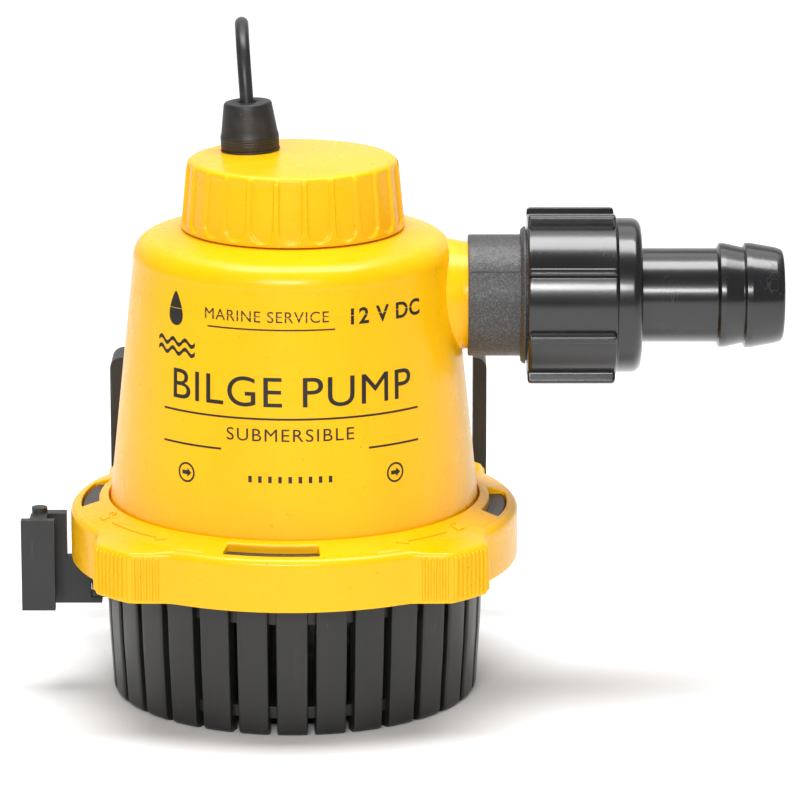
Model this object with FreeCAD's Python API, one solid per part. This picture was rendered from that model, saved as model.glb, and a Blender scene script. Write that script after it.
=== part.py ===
import FreeCAD, Part
import math
import os

# Cartridge bilge pump: strainer base, twist-lock ring, tapered pump housing, a motor cartridge
# that drops into the housing from above, and a check-valve outlet with a union nut and hose tail.
# Millimetres, +Z up.  The origin is on the pump's axis, on the surface the pump stands on.
# The outlet leaves along +X, the switch rail stands on the -X side, the rear bracket on the +Y side.

V = FreeCAD.Vector
UP = V(0, 0, 1)
ORIGIN = V(0, 0, 0)

# ---- clearances -----------------------------------------------------------------------------
run_fit = 0.05              # radial, shaft in bush, pin in eye, O-ring against its bore
slip_fit = 0.10             # parts of one body that slide together on assembly
turn_gap = 0.30             # between moulded parts that turn on each other
plug_gap = 0.30             # skirts and plugs in their bores
part_line = 0.20            # between a bracket and the pad it stands against
float_gap = 0.40            # play of the housing flange under the lock ring, and of the impeller

# ---- strainer base ----------------------------------------------------------------------------
strainer_top_r = 38.9       # outside radius of the slats under the lock ring
strainer_taper = 1.7        # the slats lean in by this much at the floor
strainer_h = 27.8           # height of the slatted part
strainer_wall = 3.6
slot_count = 30
slot_w = 1.6
slot_depth = 1.8
slot_phase = 0.3            # degrees, so that one slat faces the front
foot_h = 3.3                # feet under the floor plate
floor_t = 2.0
foot_chamfer = 0.8
window_sill = 0.5           # windows between the slats, above the floor plate
window_head = 4.8           # and below the top of the slats
screw_pcd = 50.0            # four screws hold the base down
screw_count = 4
screw_r = 2.25
screw_boss_r = 4.4
centre_pad_r = 7.0

# ---- accessory sockets on the base -------------------------------------------------------------
socket_w = 9.2
socket_out = 2.7            # how far a socket stands out of the slats
socket_h = 8.3
socket_lip = 1.5            # wall in front of the undercut
tongue_w = 5.2
tongue_t = 1.3
tongue_neck_w = 2.8
side_azimuth = 180.0
rear_azimuth = 90.0

# ---- lock ring --------------------------------------------------------------------------------
ring_reach = 6.7            # the ring stands out this far from the slats
ring_h = 12.7
ring_skin = 2.2
ring_top_t = 1.9
ring_edge_r = 1.6
ring_top_fall = 1.1         # the ring's top slopes down by this much to its edge
pad_inset = 6.6             # the square that forms the four grip pads, inside the round
pad_corner_out = 4.8        # and how far its rounded corners stand out of the round
pad_top_step = 0.2          # pads' top below the ring's edge
lug_azimuth = -95.0
lug_count = 4
lug_half_deg = 14.5
lug_drop = 0.35             # lug top below the ring's ceiling
lug_h = 5.15
lug_root = 0.5              # how deep a lug is rooted in the wall
window_half_deg = 12.9
window_margin = 2.2         # ring left between a window and the housing
hole_margin = 0.4           # ring's hole round the housing
ring_tab_half_deg = 7.0
ring_tab_t = 2.5
ring_tab_clear = 1.3        # between a hook tab and the slats

# ---- pump housing ------------------------------------------------------------------------------
body_inset = 1.5            # foot of the taper, inside the slats
body_taper = 5.1
body_h = 48.8               # from the ring to the shoulder
shoulder_in = 3.7
shoulder_h = 5.0
shoulder_sag = (1.0, 3.4)   # the shoulder arc's middle: in from the taper's top, and up
neck_rise = 6.4             # top of the neck above the shoulder's start
housing_wall = 2.2
flange_t = 2.3
skirt_h = 4.7
skirt_wall = 2.8
neck_len = 10.5
neck_wall = 2.8
neck_r = 21.2               # bore that the cartridge plugs into
seal_section = 0.85         # radius of the O-ring sections
base_groove_up = 1.4        # O-ring groove above the foot of the skirt

# ---- intake plate and impeller --------------------------------------------------------------------
plate_t = 2.0
eye_r = 9.5
eye_wall = 1.8
eye_lip = 2.0
impeller_lift = 0.7         # between the intake plate and the vanes
impeller_r = 16.8
impeller_hub_r = 4.6
impeller_disc_t = 1.4
vane_h = 5.4
vane_count = 5
vane_t = 1.4
vane_curve_r = 10.1
vane_centre = (9.0, 5.0)
vane_from_deg = 103.0
vane_to_deg = 183.0

# ---- motor cartridge ----------------------------------------------------------------------------
cap_overhang = 1.4          # the cap's foot outside the neck bore
cap_taper = 1.1
cap_edge_up = 11.9          # heights above the cap's foot: edge, rim and crown
cap_rim_up = 13.8
cap_crown_up = 14.4
cap_rim_in = 1.8
cap_skin = 2.2
flute_count = 24
flute_w = 4.8
flute_depth = 0.5
flute_foot = 0.7            # plain band under the flutes
flute_phase = -90.0
plug_wall = 1.9
cap_lug_h = 2.3
cap_lug_out = 1.5
cap_lug_half_deg = 9.0
cap_groove_up = 4.0         # O-ring groove above the foot of the neck
entry_margin = 0.2
entry_margin_deg = 1.5
cartridge_turn_deg = 20.0   # twist that brings the lugs to the entry slots
shell_wall = 1.3
shell_drop = 1.0            # top of the shell below the top of the neck
shell_floor_t = 2.0
seal_boss_r = 6.4
seal_boss_wall = 1.6
seal_boss_h = 2.6
seal_seat_h = 0.6

# ---- motor ---------------------------------------------------------------------------------------
shaft_r = 1.59
shaft_inset = 0.4           # the shaft's lower end inside the hub
shaft_over = 3.6            # the shaft's upper end above the can
can_wall = 1.2
can_standoff = 5.0          # can above the shell's floor
can_drop = 4.0              # can's rim below the shell's
bush_r = 3.6
bush_h = 4.0
bush_out = 2.8              # how far the lower bush stands out of the can
can_boss_h = 3.0
can_bush_boss_r = 5.0
magnet_t = 2.9
magnet_half_deg = 66.0
magnet_up = 5.0             # magnets above the can's floor
magnet_down = 11.0          # and below its rim
air_gap = 0.5
core_inset = 1.5            # core shorter than the magnets at each end
core_slots = 5
core_slot_w = 3.0
core_slot_root = 5.6
winding_over = 3.2
commutator_r = 4.4
commutator_h = 5.2
commutator_down = 2.8       # commutator's top below the can's rim
commutator_gap = 0.5        # depth of the cuts between its bars
brush_w = 3.2
brush_h = 3.0
brush_down = 5.4            # brushes below the can's rim
brush_box_wall = 1.0
brush_box_margin = 1.7      # between a brush box and the can
spring_r = 1.2
spring_wire_r = 0.2
spring_turns = 6
end_plate_t = 2.4

# ---- outlet ----------------------------------------------------------------------------------------
outlet_down = 7.8           # outlet axis below the shoulder's start
spigot_r = 10.8
spigot_wall = 2.0
spigot_root = 1.5           # how far the spigot's root stands inside the wall
spigot_out = 10.385         # the spigot's length outside the taper
valve_lap = 7.8             # how far the collar slips over the spigot
valve_wall = 1.4
valve_len = 10.2            # plain part of the collar
valve_flange_out = 0.7      # flange over the thread's crests
valve_flange_t = 1.0
valve_flange_chamfer = 0.6
seat_t = 2.0
seat_bore_r = 7.6
chamber_wall = 1.3
thread_r = 13.2
thread_len = 7.8
thread_pitch = 2.5
thread_depth = 0.7
thread_lead_in = 0.8
thread_flat = 0.6           # along the root, and half of what lies along a crest
flap_over = 1.1             # rubber beyond the seat's bore
flap_t = 1.6
flap_pin_r = 0.8
flap_pin_out = 0.5          # pin beyond the flap's edge
flap_eye_r = 1.3
flap_eye_w = 4.8
flap_shoulder = 2.0         # flat top of the flap, below the pin
ear_w = 1.6
ear_r = 1.5

nut_wall = 2.95
nut_cover = 2.2             # nut body beyond its inner shoulder
nut_collar_len = 4.9
nut_collar_step = 0.85
nut_shoulder_gap = 0.4
nut_rib_h = 2.0
nut_rib_w = 1.6
nut_rib_count = 8
nut_rib_phase = 27.5
nut_collar_round = 2.0

tail_r = 9.5                # 19 mm (3/4 in) hose tail
tail_wall = 2.3
tail_flange_in = 0.4        # flange inside the thread's crests
tail_flange_len = 7.0
tail_chamber_len = 5.7
hose_len = 43.8            # gasket face to the mouth
gasket_t = 1.2
barb_out = 1.05             # height of the barbs over the plain neck
barb_root_out = 0.2
barb_back = (13.0, 7.8)     # where each barb starts, from the mouth
barb_land = 1.0
tail_mouth_round = 1.6

# ---- switch rail (left side) --------------------------------------------------------------------------
rail_bottom = 17.4
rail_top = 36.4
rail_plate_t = 3.0
rail_plate_out = 7.4        # end of the plate outside the ring
rail_head_gap = 3.1         # head outside the ring
rail_head_w = 6.8
rail_head_front = 7.2
rail_head_t = 2.0
rail_neck_w = 3.4
rail_pin_r = 1.6
rail_pin_up = 1.0
rail_lip_h = 2.0
rail_ring_clear = 1.0
rail_slat_clear = 0.6

# ---- rear bracket -----------------------------------------------------------------------------------------
bracket_half = 40.0
bracket_clear = 6.4         # plate behind the ring
bracket_plate_t = 3.0
bracket_arm_d = 10.0
bracket_bottom = 14.0
bracket_plate_top = 34.0
bracket_top = 58.0
bracket_arm_t = 2.9
bracket_corner_r = 2.5
bracket_shelf_half = 12.0
bracket_shelf_z = 20.0
bracket_shelf_t = 4.0
bracket_hole_r = 2.6
bracket_hole_x = 26.0
bracket_hole_z = 26.0

# ---- cable gland and power cord -----------------------------------------------------------------------------
gland_x = -8.6
gland_y = 6.0
gland_flange_h = 1.4
gland_flange_r = 6.9
gland_foot_r = 5.95
gland_groove = 0.8          # the waist that the cap's hole grips
gland_waist_up = 3.1        # heights above the cap's crown
gland_top_up = 9.8
gland_top_r = 4.75
gland_lean_deg = 3.0
gland_bore_r = 1.75
gland_bore_depth = 3.0
lead_spread = 1.3
cord_d = 2.8
cord_points = [             # the route from the gland, over the back and down onto the coil
    (-9.1, 6.0, 117.6),
    (-9.9, 6.4, 129.0),
    (-10.6, 16.9, 135.2),
    (-10.9, 28.6, 131.6),
    (-10.6, 40.4, 117.2),
    (-9.6, 50.3, 95.4),
    (-8.2, 58.4, 70.6),
    (-7.0, 64.1, 46.4),
    (-6.2, 67.2, 24.8),
    (-5.9, 72.3, 12.2),
    (-5.8, 82.5, 7.4),
    (-5.9, 93.5, 7.25),
]
coil_x = 14.0
coil_y = 93.5
coil_mean_r = 17.0
coil_half_w = 4.4
coil_h = 9.0
coil_edge_r = 1.6
tail_len = 16.0
lead_len = 8.0
lead_r = 0.75
lead_gap = 1.7
tie_w = 4.0
tie_t = 0.6
tie_azimuth = 90.0

# ---- sizes that follow from the ones above, from the floor up ----------------------------------------------
strainer_foot_r = strainer_top_r - strainer_taper
floor_top = foot_h + floor_t
window_bottom = floor_top + window_sill
window_top = strainer_h - window_head
socket_bottom = strainer_h - socket_h
socket_face_r = strainer_top_r + socket_out
undercut_r = socket_face_r - tongue_t - socket_lip
rim_bore_r = strainer_top_r - strainer_wall

ring_r = strainer_top_r + ring_reach
ring_bottom = strainer_h + turn_gap
ring_top = ring_bottom + ring_h
ring_edge_z = ring_top - ring_top_fall
ring_ceiling = ring_top - ring_top_t
ring_cavity_r = ring_r - ring_skin
pad_half = ring_r - pad_inset
pad_corner_r = ring_r + pad_corner_out
ring_tab_inner_r = strainer_top_r + ring_tab_clear
lug_top = ring_ceiling - lug_drop
lug_bottom = lug_top - lug_h
lug_r = ring_cavity_r - turn_gap

flange_top = ring_ceiling - float_gap
rim_top = flange_top - flange_t
flange_r = ring_cavity_r - 2 * turn_gap
skirt_bottom = rim_top - skirt_h
skirt_r = rim_bore_r - plug_gap
body_foot_r = strainer_top_r - body_inset
body_top_r = body_foot_r - body_taper
body_shoulder_z = ring_top + body_h
shoulder_in_r = body_top_r - shoulder_in
shoulder_top_z = body_shoulder_z + shoulder_h
neck_top_z = body_shoulder_z + neck_rise
neck_bottom = neck_top_z - neck_len
neck_outer_r = neck_r + neck_wall
base_groove_z = skirt_bottom + base_groove_up
cap_groove_z = neck_bottom + cap_groove_up
groove_h = 2 * seal_section + slip_fit

plate_top = skirt_bottom + plate_t
impeller_bottom = plate_top + impeller_lift
impeller_disc_z = impeller_bottom + vane_h
impeller_top = impeller_disc_z + impeller_disc_t

cap_bottom = neck_top_z + turn_gap
cap_foot_r = neck_r + cap_overhang
cap_head_r = cap_foot_r - cap_taper
cap_edge_z = cap_bottom + cap_edge_up
cap_rim_z = cap_bottom + cap_rim_up
cap_rim_r = cap_head_r - cap_rim_in
cap_crown_z = cap_bottom + cap_crown_up
under_cap_z = cap_rim_z - cap_skin
plug_r = neck_r - turn_gap
plug_bore_r = plug_r - plug_wall
plug_bottom = neck_bottom - cap_lug_h - entry_margin
gland_waist_z = cap_crown_z + gland_waist_up
gland_top_z = cap_crown_z + gland_top_up

boss_bottom = impeller_top + float_gap
shell_bottom = boss_bottom + seal_boss_h
shell_top = neck_top_z - shell_drop
shell_r = plug_bore_r - slip_fit
shell_bore_r = shell_r - shell_wall
seal_seat_r = seal_boss_r - seal_boss_wall
can_r = shell_bore_r - slip_fit
can_bottom = shell_bottom + shell_floor_t + can_standoff
can_top = shell_top - can_drop
can_bore_r = can_r - can_wall
magnet_bottom = can_bottom + magnet_up
magnet_top = can_top - magnet_down
magnet_bore_r = can_bore_r - magnet_t
core_bottom = magnet_bottom + core_inset
core_top = magnet_top - core_inset
core_r = magnet_bore_r - air_gap
commutator_top = can_top - commutator_down
commutator_bottom = commutator_top - commutator_h
brush_z = can_top - brush_down
brush_len = (can_bore_r - brush_box_margin - brush_box_wall - commutator_r) / 2
spring_len = brush_len
shaft_bottom = impeller_bottom + shaft_inset
shaft_top = can_top + shaft_over

outlet_z = body_shoulder_z - outlet_down
spigot_end = body_foot_r - body_taper * (outlet_z - ring_top) / body_h + spigot_out
spigot_bore_r = spigot_r - spigot_wall
valve_socket_r = spigot_r + slip_fit
valve_r = valve_socket_r + valve_wall
valve_start = spigot_end - valve_lap
valve_flange_x = valve_start + valve_len
valve_flange_r = thread_r + valve_flange_out
valve_flange_end = valve_flange_x + valve_flange_t
nut_start = valve_flange_end + turn_gap
seat_back = spigot_end + slip_fit
seat_x = seat_back + seat_t
thread_end = nut_start + thread_len
thread_root_r = thread_r - thread_depth
valve_chamber_r = min(valve_r, thread_root_r) - chamber_wall
flap_r = seat_bore_r + flap_over
flap_pin_z = outlet_z + flap_r + flap_pin_out
flap_pin_x = seat_x + flap_eye_r + slip_fit
tail_start = thread_end + gasket_t
tail_end = tail_start + hose_len
tail_flange_r = thread_r - tail_flange_in
tail_flange_end = tail_start + tail_flange_len
tail_chamber_end = tail_start + tail_chamber_len
tail_bore_r = tail_r - tail_wall
barb_r = tail_r + barb_out
barb_root_r = tail_r + barb_root_out
nut_bore_r = thread_r + turn_gap
nut_r = nut_bore_r + nut_wall
nut_rib_r = nut_r + nut_rib_h
nut_collar_r = nut_r - nut_collar_step
nut_shoulder = tail_flange_end + nut_shoulder_gap
nut_body_end = nut_shoulder + nut_cover
nut_end = nut_body_end + nut_collar_len

rail_plate_end = ring_r + rail_plate_out
rail_head_in = ring_r + rail_head_gap
rail_head_out = rail_head_in + rail_head_w
bracket_plate_y = ring_r + bracket_clear
bracket_back = bracket_plate_y + bracket_plate_t
bracket_front = bracket_back - bracket_arm_d


# ---- small shape helpers ------------------------------------------------------------------------------------
def rod(radius, start, end):
    """A cylinder between two points."""
    start, end = V(*start), V(*end)
    return Part.makeCylinder(radius, (end - start).Length, start, end - start)


def upright(radius, z0, z1, x=0.0, y=0.0):
    return rod(radius, (x, y, z0), (x, y, z1))


def tube(outer, inner, z0, z1):
    return upright(outer, z0, z1).cut(upright(inner, z0, z1))


def block(x0, x1, y0, y1, z0, z1):
    return Part.makeBox(x1 - x0, y1 - y0, z1 - z0, V(x0, y0, z0))


def outline(points):
    """A closed wire; an item of two points is an arc through the first to the second."""
    edges = []
    start = here = V(*points[0])
    for item in points[1:]:
        if isinstance(item[0], tuple):
            middle, end = V(*item[0]), V(*item[1])
            edges.append(Part.Arc(here, middle, end).toShape())
        else:
            end = V(*item)
            edges.append(Part.LineSegment(here, end).toShape())
        here = end
    if here != start:
        edges.append(Part.LineSegment(here, start).toShape())
    return Part.Wire(edges)


def lathe(profile):
    """Turn a profile of (radius, z) points about the pump's axis."""
    def place(point):
        return (point[0], 0.0, point[1])
    points = [(place(p[0]), place(p[1])) if isinstance(p[0], tuple) else place(p) for p in profile]
    return Part.Face(outline(points)).revolve(ORIGIN, UP, 360)


def lathe_x(profile):
    """Turn a profile of (x, radius) points about the outlet's axis."""
    def place(point):
        return (point[0], 0.0, outlet_z + point[1])
    points = [(place(p[0]), place(p[1])) if isinstance(p[0], tuple) else place(p) for p in profile]
    return Part.Face(outline(points)).revolve(V(0, 0, outlet_z), V(1, 0, 0), 360)


def turned(shape, degrees):
    copy = shape.copy()
    copy.rotate(ORIGIN, UP, degrees)
    return copy


def around(shape, count, first=0.0):
    return [turned(shape, first + 360.0 * i / count) for i in range(count)]


def sector(inner, outer, z0, z1, middle_deg, half_deg):
    """Part of a ring, centred on an azimuth."""
    wedge = Part.makeCylinder(outer, z1 - z0, V(0, 0, z0), UP, 2 * half_deg)
    return turned(wedge.cut(upright(inner, z0 - 1, z1 + 1)), middle_deg - half_deg)


def radial_plate(profile, thickness):
    """A plate in the XZ plane, from (radius, z) points, centred on that plane."""
    points = [(r, -thickness / 2, z) for r, z in profile]
    return Part.Face(outline(points)).extrude(V(0, thickness, 0))


def fused(shapes):
    return shapes[0].multiFuse(shapes[1:]).removeSplitter()


def group(shapes):
    return Part.makeCompound(shapes)


def slat_r(z):
    """Outside radius of the slats at a height."""
    return strainer_foot_r + (strainer_top_r - strainer_foot_r) * z / strainer_h


def body_r(z):
    """Outside radius of the tapered housing at a height."""
    share = (z - ring_top) / (body_shoulder_z - ring_top)
    return body_foot_r + (body_top_r - body_foot_r) * share


def cap_r(z):
    share = (z - cap_bottom) / (cap_edge_z - cap_bottom)
    return cap_foot_r + (cap_head_r - cap_foot_r) * share


# ---- base ------------------------------------------------------------------------------------------------------
def accessory_socket(azimuth):
    """A pad on the base with an undercut groove, open at the top."""
    inner_r = slat_r(socket_bottom) - slot_depth
    pad = block(inner_r, socket_face_r, -socket_w / 2, socket_w / 2, socket_bottom, strainer_h)
    floor = socket_bottom + floor_t
    wide = tongue_w / 2 + slip_fit
    neck = tongue_neck_w / 2 + slip_fit
    groove = block(undercut_r, undercut_r + tongue_t + 2 * slip_fit, -wide, wide, floor, strainer_h + 1)
    mouth = block(undercut_r, socket_face_r + 1, -neck, neck, floor, strainer_h + 1)
    return turned(pad, azimuth), turned(groove.fuse(mouth), azimuth)


def accessory_tongue(azimuth, reach):
    """The undercut tongue that slides down into a socket; its neck runs out to a radius."""
    back_r = undercut_r + slip_fit
    bottom = socket_bottom + floor_t + slip_fit
    top = strainer_h - slip_fit
    head = block(back_r, back_r + tongue_t, -tongue_w / 2, tongue_w / 2, bottom, top)
    neck = block(back_r, reach, -tongue_neck_w / 2, tongue_neck_w / 2, bottom, top)
    return turned(head.fuse(neck), azimuth)


def strainer_base():
    wall = lathe([
        (strainer_foot_r - foot_chamfer, 0), (slat_r(foot_chamfer), foot_chamfer),
        (strainer_top_r, strainer_h), (strainer_top_r, rim_top), (rim_bore_r, rim_top),
        (rim_bore_r, strainer_h), (strainer_foot_r - strainer_wall, 0)])
    inside_r = strainer_foot_r - strainer_wall - 3
    beyond_r = strainer_top_r + 2
    groove = radial_plate([
        (strainer_foot_r - slot_depth, -1), (beyond_r, -1), (beyond_r, strainer_h),
        (strainer_top_r - slot_depth, strainer_h)], slot_w)
    window = radial_plate([
        (inside_r, window_bottom), (beyond_r, window_bottom),
        (beyond_r, window_top), (inside_r, window_top)], slot_w)
    foot_gap = radial_plate([
        (inside_r, -1), (beyond_r, -1), (beyond_r, foot_h), (inside_r, foot_h)], slot_w)
    slots = []
    for cutter in (groove, window, foot_gap):
        slots += around(cutter, slot_count, slot_phase)
    wall = wall.cut(group(slots))
    floor = upright(slat_r(floor_top) - strainer_wall + 0.3, foot_h, floor_top)
    pad = upright(centre_pad_r, 0, foot_h + 0.1)
    boss = upright(screw_boss_r, 0, floor_top, screw_pcd / 2, 0)
    bosses = around(boss, screw_count, 45)
    holes = around(upright(screw_r, -1, floor_top + 1, screw_pcd / 2, 0), screw_count, 45)
    lugs = [sector(strainer_top_r - lug_root, lug_r, lug_bottom, lug_top, lug_azimuth + 90 * i, lug_half_deg)
            for i in range(lug_count)]
    sockets = [accessory_socket(azimuth) for azimuth in (side_azimuth, rear_azimuth)]
    body = fused([wall, floor, pad] + bosses + lugs + [socket[0] for socket in sockets])
    return body.cut(group(holes + [socket[1] for socket in sockets]))


def switch_rail():
    """Upright plate on the left side with a T-shaped head that a float switch clips onto."""
    plate_in = socket_face_r + part_line
    plate = block(-rail_plate_end, -plate_in, -rail_plate_t / 2, rail_plate_t / 2, rail_bottom, rail_top)
    over_ring = block(-ring_r - rail_ring_clear, 0, -rail_plate_t, rail_plate_t,
                      ring_bottom - rail_ring_clear, ring_top)
    plate = plate.cut(over_ring)
    lip = block(-plate_in - 1, -strainer_top_r - rail_slat_clear, -rail_plate_t / 2, rail_plate_t / 2,
                rail_bottom, rail_bottom + rail_lip_h)
    head = block(-rail_head_out, -rail_head_in, -rail_head_front, -rail_head_front + rail_head_t,
                 rail_bottom, rail_top)
    middle = (rail_head_out + rail_head_in) / 2
    neck = block(-middle - rail_neck_w / 2, -middle + rail_neck_w / 2,
                 -rail_head_front, -rail_plate_t / 2 + 0.1, rail_bottom, rail_top)
    pin = upright(rail_pin_r, rail_bottom, rail_top + rail_pin_up, -middle, 0)
    tongue = accessory_tongue(side_azimuth, plate_in + 1)
    return fused([plate, lip, head, neck, pin, tongue])


def rear_bracket():
    """Bulkhead plate behind the pump with two upright arms, on a shelf from the base."""
    plate = block(-bracket_half, bracket_half, bracket_plate_y, bracket_back,
                  bracket_bottom, bracket_plate_top)
    low, high, r = bracket_bottom, bracket_top, bracket_corner_r
    diagonal = r * (1 - math.sqrt(0.5))
    arms = []
    for side in (-1, 1):
        x = side * bracket_half
        inner = side * (bracket_half - bracket_arm_t)
        face = Part.Face(outline([
            (inner, bracket_front, low), (x, bracket_front, low), (x, bracket_front, high - r),
            ((x - side * diagonal, bracket_front, high - diagonal), (x - side * r, bracket_front, high)),
            (inner, bracket_front, high)]))
        arms.append(face.extrude(V(0, bracket_back - bracket_front, 0)))
    reach = socket_face_r + part_line
    shelf = block(-bracket_shelf_half, bracket_shelf_half, reach, bracket_plate_y + 1,
                  bracket_shelf_z, bracket_shelf_z + bracket_shelf_t)
    tongue = accessory_tongue(rear_azimuth, reach + 1)
    holes = [rod(bracket_hole_r, (side * bracket_hole_x, bracket_plate_y - 1, bracket_hole_z),
                 (side * bracket_hole_x, bracket_back + 1, bracket_hole_z)) for side in (-1, 1)]
    return fused([plate, shelf, tongue] + arms).cut(group(holes))


# ---- lock ring -----------------------------------------------------------------------------------------------------
def lock_ring():
    """Round ring with four grip pads; tabs inside hook under the lugs of the base."""
    hole_r = body_foot_r + hole_margin
    round_wall = lathe([
        (body_foot_r, ring_bottom), (ring_r, ring_bottom), (ring_r, ring_edge_z - ring_edge_r),
        ((ring_r - ring_edge_r * 0.29, ring_edge_z - ring_edge_r * 0.29), (ring_r - ring_edge_r, ring_edge_z)),
        (hole_r, ring_top), (body_foot_r, ring_top)])
    square = block(-pad_half, pad_half, -pad_half, pad_half, ring_bottom, ring_edge_z - pad_top_step)
    pads = square.common(upright(pad_corner_r, ring_bottom, ring_top))
    solid = fused([round_wall, pads])
    cavity = upright(ring_cavity_r, ring_bottom - 1, ring_ceiling)
    hole = upright(hole_r, ring_bottom - 1, ring_top + 1)
    windows = [sector(body_foot_r + window_margin, ring_cavity_r, ring_ceiling - 1, ring_top + 1,
                      lug_azimuth + 90 * i, window_half_deg) for i in range(lug_count)]
    solid = solid.cut(group([cavity] + windows)).cut(hole)
    tab_top = lug_bottom - turn_gap
    tabs = [sector(ring_tab_inner_r, ring_cavity_r + 0.5, tab_top - ring_tab_t, tab_top,
                   lug_azimuth + 90 * i, ring_tab_half_deg) for i in range(lug_count)]
    return fused([solid] + tabs)


# ---- housing ---------------------------------------------------------------------------------------------------------
def pump_housing():
    """Tapered shell with a flange at the foot, a neck for the cartridge and the outlet spigot."""
    shoulder_mid = (body_top_r - shoulder_sag[0], body_shoulder_z + shoulder_sag[1])
    outside = lathe([
        (0, skirt_bottom), (skirt_r, skirt_bottom), (skirt_r, rim_top), (flange_r, rim_top),
        (flange_r, flange_top), (body_r(flange_top), flange_top), (body_top_r, body_shoulder_z),
        (shoulder_mid, (shoulder_in_r, shoulder_top_z)), (cap_foot_r + 0.3, neck_top_z), (0, neck_top_z)])
    w = housing_wall
    inside = lathe([
        (0, skirt_bottom - 1), (skirt_r - skirt_wall, skirt_bottom - 1),
        (skirt_r - skirt_wall, rim_top - 0.5), (body_r(flange_top) - w, flange_top + 1),
        (body_top_r - w, body_shoulder_z - 1), (shoulder_in_r - 1, shoulder_top_z - w),
        (neck_outer_r, shoulder_top_z - w), (neck_outer_r, neck_bottom), (0, neck_bottom)])
    spigot = lathe_x([(0, 0), (spigot_end, 0), (spigot_end, spigot_r), (0, spigot_r)])
    spigot_bore = lathe_x([(0, 0), (spigot_end + 1, 0), (spigot_end + 1, spigot_bore_r), (0, spigot_bore_r)])
    bore = upright(neck_r, neck_bottom - 1, neck_top_z + 1)
    entry = [sector(neck_r - 1, neck_r + cap_lug_out + entry_margin, neck_bottom - 1, neck_top_z + 1,
                    cartridge_turn_deg + 180 * i, cap_lug_half_deg + entry_margin_deg) for i in range(2)]
    seal_root_r = rim_bore_r - slip_fit - 2 * seal_section
    seal_groove = tube(skirt_r + 1, seal_root_r, base_groove_z, base_groove_z + groove_h)
    notches = [sector(strainer_top_r - lug_root - slip_fit, flange_r + 1, rim_top - 1, flange_top + 0.01,
                      lug_azimuth + 90 * i, lug_half_deg + 0.5) for i in range(lug_count)]
    shell = fused([outside, spigot]).cut(inside)
    root_r = body_r(outlet_z) - w - spigot_root
    inward = lathe_x([(0, 0), (root_r, 0), (root_r, spigot_r + 1), (0, spigot_r + 1)])
    keep_clear = inward.common(upright(root_r, outlet_z - 2 * spigot_r, neck_bottom))
    return shell.cut(group([keep_clear, spigot_bore, bore, seal_groove] + entry + notches))


def o_ring(middle_r, z):
    return Part.makeTorus(middle_r, seal_section, V(0, 0, z), UP)


def base_seal():
    return o_ring(rim_bore_r - slip_fit / 2 - seal_section, base_groove_z + groove_h / 2)


def intake_plate():
    """Plate that closes the volute from below, with the eye the water enters by."""
    radius = skirt_r - skirt_wall - slip_fit
    lip_bottom = skirt_bottom - eye_lip
    return lathe([
        (eye_r, lip_bottom), (eye_r + eye_wall, lip_bottom), (eye_r + eye_wall, skirt_bottom),
        (radius, skirt_bottom), (radius, plate_top), (eye_r, plate_top)])


# ---- cartridge ----------------------------------------------------------------------------------------------------------
def gland_turned(shape):
    copy = shape.copy()
    copy.rotate(V(gland_x, gland_y, cap_rim_z), V(0, 1, 0), -gland_lean_deg)
    return copy


def motor_cap():
    """Fluted cap with a hollow head, a plug for the housing neck and two bayonet lugs."""
    edge_mid = (cap_head_r - 0.5, cap_rim_z - 0.55)
    outside = lathe([
        (0, cap_bottom), (cap_foot_r, cap_bottom), (cap_head_r, cap_edge_z),
        (edge_mid, (cap_rim_r, cap_rim_z)), ((cap_rim_r / 2, cap_crown_z - 0.15), (0, cap_crown_z))])
    plug = upright(plug_r, plug_bottom, cap_bottom)
    inside = upright(plug_bore_r, plug_bottom - 1, under_cap_z)
    lugs = [sector(plug_r - 1, plug_r + cap_lug_out, plug_bottom, plug_bottom + cap_lug_h,
                   180 * i, cap_lug_half_deg) for i in range(2)]
    round_foot_z = cap_bottom + flute_foot + flute_w / 2
    straight = radial_plate([
        (cap_r(round_foot_z) - flute_depth, round_foot_z), (cap_foot_r + 2, round_foot_z),
        (cap_foot_r + 2, cap_rim_z), (cap_r(cap_rim_z) - flute_depth, cap_rim_z)], flute_w)
    foot = rod(flute_w / 2, (cap_r(round_foot_z) - flute_depth, 0, round_foot_z),
               (cap_foot_r + 2, 0, round_foot_z))
    flute = straight.fuse(foot)
    gland_hole = gland_turned(upright(gland_foot_r - gland_groove, cap_bottom, gland_waist_z,
                                      gland_x, gland_y))
    groove = tube(plug_r + 1, neck_r - slip_fit - 2 * seal_section, cap_groove_z, cap_groove_z + groove_h)
    cap = fused([outside, plug] + lugs).cut(inside)
    return cap.cut(group(around(flute, flute_count, flute_phase) + [gland_hole, groove]))


def cap_seal():
    return o_ring(neck_r - run_fit - seal_section, cap_groove_z + groove_h / 2)


def cable_gland():
    """Rubber bung: a flange under the cap, a waist in its hole and a tapered boot above it."""
    under = under_cap_z
    grip_r = gland_foot_r - gland_groove
    boot = lathe([
        (0, under - gland_flange_h), (gland_flange_r, under - gland_flange_h), (gland_flange_r, under),
        (grip_r, under), (grip_r, cap_crown_z - slip_fit), (gland_foot_r, cap_crown_z - slip_fit),
        (gland_foot_r - 0.1, gland_waist_z), (gland_top_r + 0.25, gland_top_z - 0.25),
        (gland_top_r, gland_top_z), (0, gland_top_z)])
    boot.translate(V(gland_x, gland_y, 0))
    bore = upright(gland_bore_r, gland_top_z - gland_bore_depth, gland_top_z + 1, gland_x, gland_y)
    flange_clear = upright(plug_bore_r - slip_fit, cap_bottom, gland_top_z + 1)
    return gland_turned(boot.cut(bore)).common(flange_clear).cut(motor_cap())


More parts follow.
